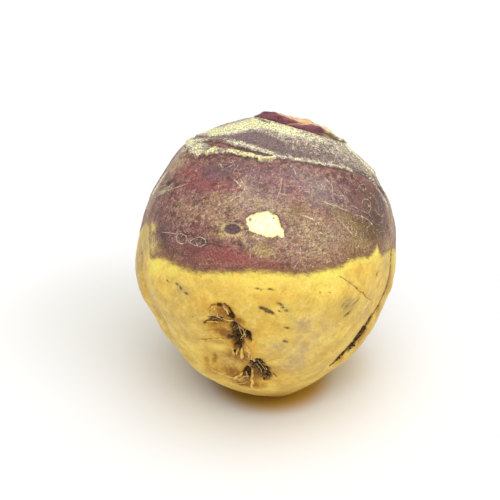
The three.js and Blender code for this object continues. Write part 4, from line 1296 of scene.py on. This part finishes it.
def tube_mesh(name, rings):
    """A closed mesh through rings of points, flat at both ends."""
    count, sides = rings.shape[:2]
    quads = []
    for ring in range(count - 1):
        for corner in range(sides):
            a, b = ring * sides + corner, ring * sides + (corner + 1) % sides
            quads.append((a, b, b + sides, a + sides))
    quads.append(tuple(reversed(range(sides))))
    quads.append(tuple(range((count - 1) * sides, count * sides)))
    loose = bpy.data.meshes.new(name)
    loose.from_pydata(rings.reshape(-1, 3).tolist(), [], quads)
    shape = bmesh.new()
    shape.from_mesh(loose)
    bpy.data.meshes.remove(loose)
    bmesh.ops.recalc_face_normals(shape, faces=shape.faces)
    return mesh_from(shape, name)


def leaf_base_loops(stations, settings):
    """Sections along a leaf base: radius, height and cut of each point, and the sections' turns."""
    stations = np.array(stations, float)
    turns = np.linspace(stations[0, 0], stations[-1, 0], settings.stations)
    radius, outer, inner, thick, cut = (np.interp(turns, stations[:, 0], stations[:, i]) for i in range(1, 6))
    mean = np.ones(5) / 5
    radius, outer, inner, thick = (
        np.convolve(np.pad(row, 2, "edge"), mean, "valid") for row in (radius, outer, inner, thick))
    ceiling = np.interp(radius * np.sin(np.radians(turns)), CROWN_ACROSS, CROWN_CEILING)
    outer, inner = np.minimum(outer, ceiling), np.minimum(inner, ceiling)
    bulge, low = settings.bulge / MM, -settings.sink / MM
    zero, one = np.zeros_like(turns), np.ones_like(turns)
    # from the foot of the rind up, over the cut face and down the inner side
    corners = (
        (radius - 0.3, low * one, zero),
        (radius + 0.5 * bulge, 0.3 * outer, zero),
        (radius + bulge, 0.66 * outer, zero),
        (radius + 0.7 * bulge, 0.95 * outer, zero),
        (radius + 0.1, outer, 0.6 * cut),
        (radius - 0.25 * thick, outer + 0.3 * (inner - outer), cut),
        (radius - 0.75 * thick, outer + 0.8 * (inner - outer), cut),
        (radius - thick + 0.2, inner, cut),
        (radius - thick, 0.9 * inner, 0.3 * cut),
        (radius - thick, 0.5 * inner, zero),
        (radius - thick, low * one, zero),
    )
    loops = rounded(rounded(np.stack([np.stack(corner, 1) for corner in corners], axis=1)))
    return loops, np.repeat(turns[:, None], loops.shape[1], 1)


def rippled(flat, cut, index, ripple):
    """Gives a leaf base in the crown disc's frame small ripples, finer on its cut face."""
    share = np.clip(flat[:, 2] / RIPPLE_FROM, 0, 1)
    flat[:, 2] += share * ripple / MM * grain(flat * (1, 1, 0.3), 2.6, 2, 3.0 * index)
    flat[:, 2] += cut * share * 0.6 * ripple / MM * grain(flat * (0.7, 0.7, 0.3), 0.9, 2, 13.0 + index)
    out = unit(flat[:, :2])
    flat[:, :2] += 0.8 * ripple / MM * out * grain(flat * (1, 1, 0.4), 4.0, 2, 9.0 + index)[:, None]
    return flat


def build_leaf_bases(settings):
    material = leaf_base_material(settings)
    for index, (node, stations) in enumerate(LEAF_BASES.items()):
        loops, turns = leaf_base_loops(stations, settings)
        radius, height, cut = (loops[..., i] for i in range(3))
        angle = np.radians(turns)
        disc = np.stack((radius * np.sin(angle), -radius * np.cos(angle), height), axis=2)
        grown = from_crown(rippled(disc.reshape(-1, 3), cut.ravel(), index, settings.ripple))
        along = np.stack((angle.ravel() * LEAF_RADIUS, height.ravel(), radius.ravel()), 1)
        if node in DRYING_FROM:
            dry = smooth_step(turns.ravel(), *DRYING_FROM[node])
        else:
            dry = np.full(len(grown), float(node in DRY_LEAF_BASES))
        mesh = tube_mesh("cut_" + node, to_world(grown).reshape(disc.shape))
        for name, values in (("grown", grown), ("cut", cut.ravel()), ("along", along),
                             ("dry", settings.dryness * dry)):
            store(mesh, name, values)
        settle(add_object("cut_" + node, mesh, material), "leaf_base", node)


def build_heart(settings):
    mesh = remeshed("crown_heart", settings.voxel, "dried_heart")
    disc = crown_frame(to_leaned(coordinates(mesh)))
    share = np.clip(disc[:, 2] / RIPPLE_FROM, 0, 1)
    disc[:, 2] -= settings.sink / MM * (1 - share)
    angle = np.arctan2(disc[:, 1], disc[:, 0])
    radius = np.hypot(disc[:, 0], disc[:, 1])
    disc[:, 2] += share * (0.5 * np.sin(angle * 2 + radius * 1.9) + 0.5 * grain(disc, 1.8, 3, 2.0))
    set_coordinates(mesh, to_world(from_crown(disc)))
    material = dry_material("dried_heart", srgb(92, 62, 38), srgb(196, 158, 104), 1.1, 0.0005)
    settle(add_object("dried_heart", mesh, material), "dried_heart", "crown_heart")


# ---- Side roots, root hairs and soil ----


def on_skin(tree, azimuth, latitude):
    """A point of the finished skin, in metres."""
    way = LEAN @ Vector(direction(azimuth, latitude))
    return tree.ray_cast(MIDDLE + way * OUTSIDE, -way)[0]


def strand_line(places, rings):
    """A strand's places at even steps with softened corners, and their shares of its length."""
    corners = np.array(places, float)
    steps = np.linspace(0, len(corners) - 1, rings * (len(corners) - 1) + 1)
    line = np.stack([np.interp(steps, np.arange(len(corners)), corners[:, i]) for i in (0, 1)], 1)
    line[1:-1] = (line[:-2] + 2 * line[1:-1] + line[2:]) / 4
    return line, np.linspace(0, 1, len(line))


def root_strand(tree, places, start_size, end_size, settings, seed):
    """Rings of a knobbly tapering strand that lies on the skin."""
    line, shares = strand_line(places, settings.rings)
    sizes = (start_size + (end_size - start_size) * shares) * MM
    spots = [on_skin(tree, azimuth, latitude) for azimuth, latitude in line]
    reach = np.array([(spot - MIDDLE).length for spot in spots])
    for _ in range(settings.taut):
        reach[1:-1] = np.maximum(reach[1:-1], (reach[:-2] + reach[2:]) / 2)
    centres = []
    for index, spot in enumerate(spots):
        wander = noise.noise_vector(Vector((seed * 3.1, index * 0.35, 0.5))) * settings.wander
        lift = settings.lift * max(0.0, noise.noise(Vector((index * 0.3, seed * 5.7, 1.0))))
        way = (spot - MIDDLE).normalized()
        centres.append(MIDDLE + way * (reach[index] + STRAND_RISE * sizes[index] + lift) + wander)
    rings = []
    for index, centre in enumerate(centres):
        ahead = (centres[min(index + 1, len(centres) - 1)] - centres[max(index - 1, 0)]).normalized()
        side = ahead.cross((centre - MIDDLE).normalized()).normalized()
        up = side.cross(ahead)
        share = shares[index]
        size = sizes[index] * min(1.0, 5 * share + 0.12, 5 * (1 - share) + 0.25)
        ring = []
        for corner in range(settings.sides):
            angle = 2 * math.pi * corner / settings.sides
            knobs = 1 + 0.24 * noise.noise(Vector((corner * 0.9, index * 0.5, seed)))
            ring.append(centre + (side * math.cos(angle) + up * math.sin(angle)) * size * knobs)
        rings.append(ring)
    return np.array(rings)


def joined(name, parts):
    """Joins meshes into one."""
    shape = bmesh.new()
    for part in parts:
        shape.from_mesh(part)
        bpy.data.meshes.remove(part)
    return mesh_from(shape, name)


def strand(name, tree, spec, settings, seed):
    places, start, end, paleness = spec
    mesh = tube_mesh(name, root_strand(tree, places, start, end, settings, seed))
    store(mesh, "paleness", np.full(len(mesh.vertices), paleness))
    return mesh


def build_side_roots(settings):
    noise.seed_set(settings.seed)
    tree = surface_tree(bpy.data.objects["root_skin"].data)
    material = rootlet_material()
    for seed, (node, spec) in enumerate(SIDE_ROOTS.items()):
        mesh = strand("grown_" + node, tree, spec, settings, seed)
        settle(add_object("grown_" + node, mesh, material), "rootlet", node)
    parts = [strand(f"fine_root_{seed}", tree, spec, settings, FINE_ROOT_SEED + seed)
             for seed, spec in enumerate(FINE_ROOTS)]
    settle(add_object("fine_roots", joined("fine_roots", parts), material), "rootlet")


def node_tree(name, sizes):
    """An empty Geometry Nodes tree with a geometry input, a seed and named sizes."""
    tree = bpy.data.node_groups.new(name, "GeometryNodeTree")
    face = tree.interface
    face.new_socket("Geometry", in_out="INPUT", socket_type="NodeSocketGeometry")
    face.new_socket("Seed", in_out="INPUT", socket_type="NodeSocketInt")
    for label in sizes:
        face.new_socket(label, in_out="INPUT", socket_type="NodeSocketFloat").default_value = 1.0
    face.new_socket("Geometry", in_out="OUTPUT", socket_type="NodeSocketGeometry")
    bench = NodeBench(tree)
    return tree, bench, bench.add("NodeGroupInput").outputs


def scatter_points(bench, given, field, low, high):
    """Points on the skin, dense where a field is strong."""
    strength = bench.add("GeometryNodeInputNamedAttribute", {"Name": field}, data_type="FLOAT").outputs[0]
    density = bench.times(bench.ease(strength, low, high), given["Density"])
    return bench.add("GeometryNodeDistributePointsOnFaces", {
        "Mesh": given["Geometry"], "Density": density, "Seed": given["Seed"],
    }, distribute_method="RANDOM").outputs


def random_value(bench, kind, low, high, seed):
    node = bench.add("FunctionNodeRandomValue", data_type=kind)
    low_port, high_port, result = {"FLOAT": (2, 3, 1), "FLOAT_VECTOR": (0, 1, 0)}[kind]
    for port, value in ((low_port, low), (high_port, high), ("Seed", seed)):
        bench.put(node.inputs[port], value)
    return node.outputs[result]


def any_turn(bench, seed):
    return random_value(bench, "FLOAT_VECTOR", (0, 0, 0), (6.28, 6.28, 6.28), seed)


def placed_on(bench, points, shape, rotation, size):
    """Copies of a shape on points, made real."""
    placed = bench.add("GeometryNodeInstanceOnPoints", {
        "Points": points["Points"], "Instance": shape, "Rotation": rotation, "Scale": size})
    return bench.add("GeometryNodeRealizeInstances", {"Geometry": placed.outputs[0]}).outputs[0]


def pushed(bench, geometry, scale, detail, amount):
    """Moves each point of a geometry aside by a noise."""
    swirl = bench.colour_noise(bench.add("GeometryNodeInputPosition").outputs[0], scale, detail)
    push = bench.sized(bench.centred(swirl), amount)
    return bench.add("GeometryNodeSetPosition", {"Geometry": geometry, "Offset": push}).outputs[0]


def finish_tree(bench, geometry, material):
    painted = bench.add("GeometryNodeSetMaterial", {"Geometry": geometry, "Material": material})
    shaded = bench.add("GeometryNodeSetShadeSmooth", {"Geometry": painted.outputs[0], "Shade Smooth": True})
    bench.add("NodeGroupOutput", {0: shaded.outputs[0]})


def hair_tree(material):
    """Fine bent hairs lying over the skin."""
    tree, bench, given = node_tree("root_hairs", ("Density", "Length", "Thickness", "Curl"))
    points = scatter_points(bench, given, "hairy", 0.15, 0.9)
    upright = bench.add("FunctionNodeAlignRotationToVector", {
        "Rotation": any_turn(bench, 3), "Vector": points["Normal"], "Factor": 1.0}, axis="Z")
    tilted = bench.add("FunctionNodeRotateRotation", {
        "Rotation": upright.outputs[0],
        "Rotate By": random_value(bench, "FLOAT_VECTOR", (1.0, -0.5, -3.14), (1.5, 0.5, 3.14), 4),
    }, rotation_space="LOCAL")
    hair = bench.add("GeometryNodeCurvePrimitiveBezierSegment", {
        "Resolution": 10, "Start": (0.0, 0.0, -0.02), "Start Handle": (0.0, 0.15, 0.3),
        "End Handle": (0.1, -0.1, 0.7), "End": (0.15, 0.1, 1.0)})
    size = bench.times(given["Length"], random_value(bench, "FLOAT", 0.35, 1.0, 5))
    hairs = placed_on(bench, points, hair.outputs[0], tilted.outputs[0], size)
    along = bench.add("GeometryNodeSplineParameter").outputs["Factor"]
    bent = pushed(bench, hairs, 260.0, 1.0, bench.times(along, given["Curl"]))
    thin = bench.times(given["Thickness"], bench.ease(along, 0.0, 1.0, 1.0, 0.35))
    sized = bench.add("GeometryNodeSetCurveRadius", {"Curve": bent, "Radius": thin})
    ring = bench.add("GeometryNodeCurvePrimitiveCircle", {"Resolution": 4, "Radius": 1.0}, mode="RADIUS")
    tube = bench.add("GeometryNodeCurveToMesh", {
        "Curve": sized.outputs[0], "Profile Curve": ring.outputs[0], "Fill Caps": True, "Scale": thin})
    finish_tree(bench, tube.outputs[0], material)
    return tree


def crumb_tree(material):
    """Small lumps of dry soil sunk into the pits."""
    tree, bench, given = node_tree("soil_crumbs", ("Density", "Size"))
    points = scatter_points(bench, given, "soil", 0.35, 0.8)
    ball = bench.add("GeometryNodeMeshIcoSphere", {"Radius": 1.0, "Subdivisions": 2}).outputs["Mesh"]
    share = random_value(bench, "FLOAT", 0.0, 1.0, 9)
    size = bench.times(given["Size"], bench.ease(share, 0.0, 1.0, 0.3, 1.0))
    crumbs = placed_on(bench, points, ball, any_turn(bench, 8), size)
    worn = pushed(bench, crumbs, 1400.0, 2.0, bench.times(given["Size"], 1.4))
    finish_tree(bench, worn, material)
    return tree


def grown_over_skin(tree, settings, material, slot):
    """Runs a node tree over a copy of the skin and keeps the result as a plain mesh."""
    name = tree.name
    source = bpy.data.objects.new(name + "_source", bpy.data.objects["root_skin"].data)
    bpy.context.scene.collection.objects.link(source)
    modifier = source.modifiers.new(name, "NODES")
    modifier.node_group = tree
    for socket in tree.interface.items_tree:
        if socket.in_out == "INPUT" and socket.name != "Geometry":
            modifier[socket.identifier] = getattr(settings, socket.name.lower())
    mesh = applied(source, name)
    if not mesh.polygons:
        raise RuntimeError(f"{name}: the node tree made no faces")
    for layer in (*STAINS, "grown", "over_soil", "scar"):
        if layer in mesh.attributes:
            mesh.attributes.remove(mesh.attributes[layer])
    settle(add_object(name, mesh, material), slot)


def grow_hairs(settings):
    mesh = bpy.data.objects["root_skin"].data
    ways = unit(to_leaned(coordinates(mesh)))
    store(mesh, "hairy", soft_spots(ways, HAIRY))
    material = dry_material("root_hair", srgb(150, 112, 60), srgb(226, 200, 144), 0.6, 0.0001)
    grown_over_skin(hair_tree(material), settings, material, "rootlet")


def scatter_soil(settings):
    material = dry_material("soil", srgb(30, 16, 5), srgb(108, 74, 36), 0.9, 0.0003)
    grown_over_skin(crumb_tree(material), settings, material, "root_skin")


# ---- Stage ----


def aim(thing, target):
    thing.rotation_mode = "QUATERNION"
    thing.rotation_quaternion = (Vector(target) - thing.location).to_track_quat("-Z", "Y")


def add_softbox(name, way, power, size):
    """A large soft light from one side, as strong near as far."""
    data = bpy.data.lights.new(name, "SUN")
    data.energy = power
    data.angle = size
    light = bpy.data.objects.new(name, data)
    light.location = MIDDLE + Vector(way)
    bpy.context.scene.collection.objects.link(light)
    aim(light, MIDDLE)


def set_floor(settings):
    """A wide pale floor with painted shadow and painted golden bounce light close to the root."""
    shape = bmesh.new()
    bmesh.ops.create_circle(shape, cap_ends=True, segments=96, radius=settings.floor_radius)
    material, bench = new_material("pale_floor")
    spot = bench.add("ShaderNodeTexCoord").outputs["Object"]
    colour = settings.floor_colour
    # Painted shadow on the floor round the root, golden with painted bounce light at its foot.
    for middle, outer, inner, share, painted_shade in (*FLOOR_PAINTED_SHADES, (*CONTACT_PAINTED_SHADOW, settings.contact_shadow_colour)):
        apart = bench.vector_math("DISTANCE", {0: spot, 1: middle}, "Value")
        colour = bench.blend(bench.ease(apart, outer, inner, 0.0, share), colour, painted_shade)
    bench.surface({"Base Color": colour, "Roughness": 0.9, "Specular IOR Level": 0.1})
    add_object("floor", mesh_from(shape, "floor"), material)


def set_world(settings):
    """Even light from all round, behind which the camera sees plain white."""
    world = bpy.data.worlds.new("studio")
    world.use_nodes = True
    bench = NodeBench(world.node_tree)
    fill, backdrop = (
        bench.add("ShaderNodeBackground", {"Color": (1.0, 1.0, 1.0), "Strength": strength}).outputs[0]
        for strength in (settings.fill, 1.0))
    seen = bench.add("ShaderNodeLightPath").outputs["Is Camera Ray"]
    mixed = bench.add("ShaderNodeMixShader", {0: seen, 1: fill, 2: backdrop})
    bench.add("ShaderNodeOutputWorld", {"Surface": mixed.outputs[0]})
    bpy.context.scene.world = world


def set_camera(settings):
    scene = bpy.context.scene
    lens = bpy.data.cameras.new("camera")
    lens.lens = settings.lens
    lens.clip_start = 0.01
    camera = bpy.data.objects.new("camera", lens)
    back = Vector((0.0, -math.cos(settings.elevation), math.sin(settings.elevation)))
    target = MIDDLE + CAMERA_AIM * MM
    camera.location = target + back * settings.distance
    scene.collection.objects.link(camera)
    aim(camera, target)
    scene.camera = camera


def set_stage(settings):
    set_floor(settings)
    set_world(settings)
    bpy.context.scene.view_settings.view_transform = "Standard"
    add_softbox("overhead", OVERHEAD_SIDE, settings.key_power, settings.key_size)
    add_softbox("front", FRONT_LIGHT_SIDE, settings.front_power, settings.front_size)
    set_camera(settings)


# ---- Add-on: settings ----


def colour_property(name, description, default):
    return FloatVectorProperty(
        name=name, description=description, subtype="COLOR", size=3, min=0.0, max=1.0, default=default)


def length_property(name, description, default):
    return FloatProperty(
        name=name, description=description, subtype="DISTANCE", unit="LENGTH", default=default)


class RutabagaSkinSettings(bpy.types.PropertyGroup):
    """Sizes and colours of the root's skin"""

    grid_cuts: IntProperty(
        name="Grid Cuts", description="Cuts along each side of the skin's six quad grids", default=126)
    front_pull: FloatProperty(
        name="Front Pull", description="How much closer the quads are at the front", default=0.22)
    focus_pull: FloatProperty(
        name="Focus Pull", description="How much closer the quads are at the pits", default=0.42)
    smoothing: IntProperty(
        name="Smoothing", description="Rounds of averaging that soften the solid's facets", default=36)
    lumps: length_property("Lumps", "Height of the broad lumps", 0.00045)
    wrinkles: length_property("Wrinkles", "Height of the small wrinkles", 0.00006)
    fine_relief: length_property("Fine Relief", "Height of the finest relief", 0.0004)
    gloss_rough: FloatProperty(name="Roughness", description="Roughness of the waxy skin", default=0.4)
    purple: colour_property("Purple", "Skin that grew above the soil", srgb(134, 84, 80))
    dark_purple: colour_property("Dark Purple", "Darker patches of the purple", srgb(94, 57, 55))
    pink: colour_property("Pink", "Where the purple is thin and red", srgb(152, 78, 76))
    scurf: colour_property("Scurf", "Thin tan layer over the purple", srgb(186, 160, 124))
    yellow: colour_property("Yellow", "Skin that grew in the soil", srgb(232, 198, 86))
    deep_yellow: colour_property("Deep Yellow", "Darker bands of the yellow", srgb(210, 172, 70))
    halo: colour_property("Halo", "Bright band under the soil line", srgb(240, 228, 98))
    cream: colour_property("Cream", "Corky speckle near the crown", srgb(224, 216, 184))


class RutabagaCrownSettings(bpy.types.PropertyGroup):
    """Sizes and colours of the cut leaf bases"""

    voxel: length_property("Mesh Size", "Width of the heart's quads", 0.0004)
    stations: IntProperty(name="Stations", description="Sections along each leaf base", default=90)
    bulge: length_property("Bulge", "How far the rind of a leaf base swells out", 0.0007)
    ripple: length_property("Ripple", "Height of the ripples on a leaf base", 0.0004)
    sink: length_property("Sink", "How far the leaf bases reach into the crown", 0.0012)
    dryness: FloatProperty(
        name="Dryness", description="How dry and grey the oldest leaf bases are", default=0.8)
    rind: colour_property("Rind", "Purple outside of the leaf bases", srgb(140, 78, 90))
    rind_dark: colour_property("Dark Rind", "Darker streaks of the rind", srgb(84, 44, 54))


class RutabagaRootSettings(bpy.types.PropertyGroup):
    """Shape of the side roots"""

    sides: IntProperty(name="Sides", description="Corners of a strand's section", default=10)
    rings: IntProperty(name="Rings", description="Rings for each leg of a strand", default=6)
    wander: length_property("Wander", "How far a strand strays from its line", 0.0005)
    seed: IntProperty(name="Seed", description="Seed of the strands' wander", default=7, min=1)
    lift: length_property("Lift", "How far a strand lifts off the skin", 0.0008)
    taut: IntProperty(name="Taut", description="Rounds that pull a strand straight over the pits", default=8)


class RutabagaHairSettings(bpy.types.PropertyGroup):
    """Fine root hairs in the hollows"""

    density: FloatProperty(
        name="Density", description="Hairs for each square metre where they are thickest", default=105000.0)
    seed: IntProperty(name="Seed", description="Seed of the hairs' places", default=4)
    length: length_property("Length", "Length of the longest hairs", 0.0065)
    thickness: length_property("Thickness", "Half the thickness of a hair", 0.00009)
    curl: length_property("Curl", "How far a hair's tip is bent aside", 0.006)


class RutabagaSoilSettings(bpy.types.PropertyGroup):
    """Soil crumbs in the pits and the furrow"""

    density: FloatProperty(
        name="Density", description="Crumbs for each square metre where they are thickest", default=4000000.0)
    seed: IntProperty(name="Seed", description="Seed of the crumbs' places", default=2)
    size: length_property("Size", "Half the width of the largest crumbs", 0.0005)


class RutabagaStageSettings(bpy.types.PropertyGroup):
    """Floor, light and camera"""

    floor_radius: length_property("Floor Radius", "Radius of the pale floor", 4.0)
    floor_colour: colour_property("Floor Colour", "Colour of the floor", (0.82, 0.82, 0.82))
    # Painted shadow with painted golden bounce light on the floor at the root's foot.
    contact_shadow_colour: colour_property(
        "Contact Colour", "Golden glow of the root on the floor", (0.66, 0.38, 0.05))
    fill: FloatProperty(name="Fill", description="Strength of the light from all round", default=0.47)
    key_power: FloatProperty(
        name="Overhead Power", description="Strength of the overhead softbox", default=2.5)
    key_size: FloatProperty(
        name="Overhead Size", description="Angle of the overhead softbox", subtype="ANGLE", default=1.3)
    front_power: FloatProperty(name="Front Power", description="Strength of the front softbox", default=0.3)
    front_size: FloatProperty(
        name="Front Size", description="Angle of the front softbox", subtype="ANGLE", default=1.5)
    lens: FloatProperty(name="Lens", description="Focal length in millimetres", default=60.0)
    distance: length_property("Distance", "From the camera to the root", 0.3786)
    elevation: FloatProperty(
        name="Elevation", description="Camera angle over the floor", subtype="ANGLE",
        default=math.radians(28))


# ---- Add-on: operators and panel ----


class RUTABAGA_OT_skin(bpy.types.Operator):
    """Builds the skin of the root round its solid"""

    bl_idname = "rutabaga.skin"
    bl_label = "Build Skin"

    def execute(self, context):
        build_skin(context.scene.rutabaga_skin)
        return {"FINISHED"}


class RUTABAGA_OT_leaf_bases(bpy.types.Operator):
    """Builds the cut leaf bases on the crown"""

    bl_idname = "rutabaga.leaf_bases"
    bl_label = "Build Leaf Bases"

    def execute(self, context):
        build_leaf_bases(context.scene.rutabaga_crown)
        return {"FINISHED"}


class RUTABAGA_OT_heart(bpy.types.Operator):
    """Builds the dried heart in the middle of the crown"""

    bl_idname = "rutabaga.heart"
    bl_label = "Build Heart"

    def execute(self, context):
        build_heart(context.scene.rutabaga_crown)
        return {"FINISHED"}


class RUTABAGA_OT_side_roots(bpy.types.Operator):
    """Builds the side roots that lie over the hollows"""

    bl_idname = "rutabaga.side_roots"
    bl_label = "Build Side Roots"

    def execute(self, context):
        build_side_roots(context.scene.rutabaga_roots)
        return {"FINISHED"}


class RUTABAGA_OT_hairs(bpy.types.Operator):
    """Grows fine root hairs with Geometry Nodes"""

    bl_idname = "rutabaga.hairs"
    bl_label = "Grow Root Hairs"

    def execute(self, context):
        grow_hairs(context.scene.rutabaga_hairs)
        return {"FINISHED"}


class RUTABAGA_OT_soil(bpy.types.Operator):
    """Scatters soil crumbs with Geometry Nodes"""

    bl_idname = "rutabaga.soil"
    bl_label = "Scatter Soil"

    def execute(self, context):
        scatter_soil(context.scene.rutabaga_soil)
        return {"FINISHED"}


class RUTABAGA_OT_stage(bpy.types.Operator):
    """Sets the floor, the lights and the camera"""

    bl_idname = "rutabaga.stage"
    bl_label = "Set Stage"

    def execute(self, context):
        set_stage(context.scene.rutabaga_stage)
        return {"FINISHED"}


OPERATORS = (
    RUTABAGA_OT_skin, RUTABAGA_OT_leaf_bases, RUTABAGA_OT_heart, RUTABAGA_OT_side_roots,
    RUTABAGA_OT_hairs, RUTABAGA_OT_soil, RUTABAGA_OT_stage,
)


class RUTABAGA_PT_panel(bpy.types.Panel):
    """Lists the steps that build the rutabaga"""

    bl_label = "Rutabaga"
    bl_idname = "RUTABAGA_PT_panel"
    bl_space_type = "VIEW_3D"
    bl_region_type = "UI"
    bl_category = "Rutabaga"

    def draw(self, context):
        for operator in OPERATORS:
            self.layout.operator(operator.bl_idname)


# The name of each group of settings on the scene.
SETTINGS = {
    "rutabaga_skin": RutabagaSkinSettings,
    "rutabaga_crown": RutabagaCrownSettings,
    "rutabaga_roots": RutabagaRootSettings,
    "rutabaga_hairs": RutabagaHairSettings,
    "rutabaga_soil": RutabagaSoilSettings,
    "rutabaga_stage": RutabagaStageSettings,
}


def register():
    for group in (*SETTINGS.values(), *OPERATORS, RUTABAGA_PT_panel):
        bpy.utils.register_class(group)
    for name, group in SETTINGS.items():
        setattr(bpy.types.Scene, name, PointerProperty(type=group))


def unregister():
    for name in SETTINGS:
        delattr(bpy.types.Scene, name)
    for group in reversed((*SETTINGS.values(), *OPERATORS, RUTABAGA_PT_panel)):
        bpy.utils.unregister_class(group)


def main():
    register()
    bpy.ops.rutabaga.skin()
    bpy.ops.rutabaga.leaf_bases()
    bpy.ops.rutabaga.heart()
    bpy.ops.rutabaga.side_roots()
    bpy.ops.rutabaga.hairs()
    bpy.ops.rutabaga.soil()
    bpy.ops.rutabaga.stage()
    bpy.context.view_layer.update()


if __name__ == "__main__":
    main()
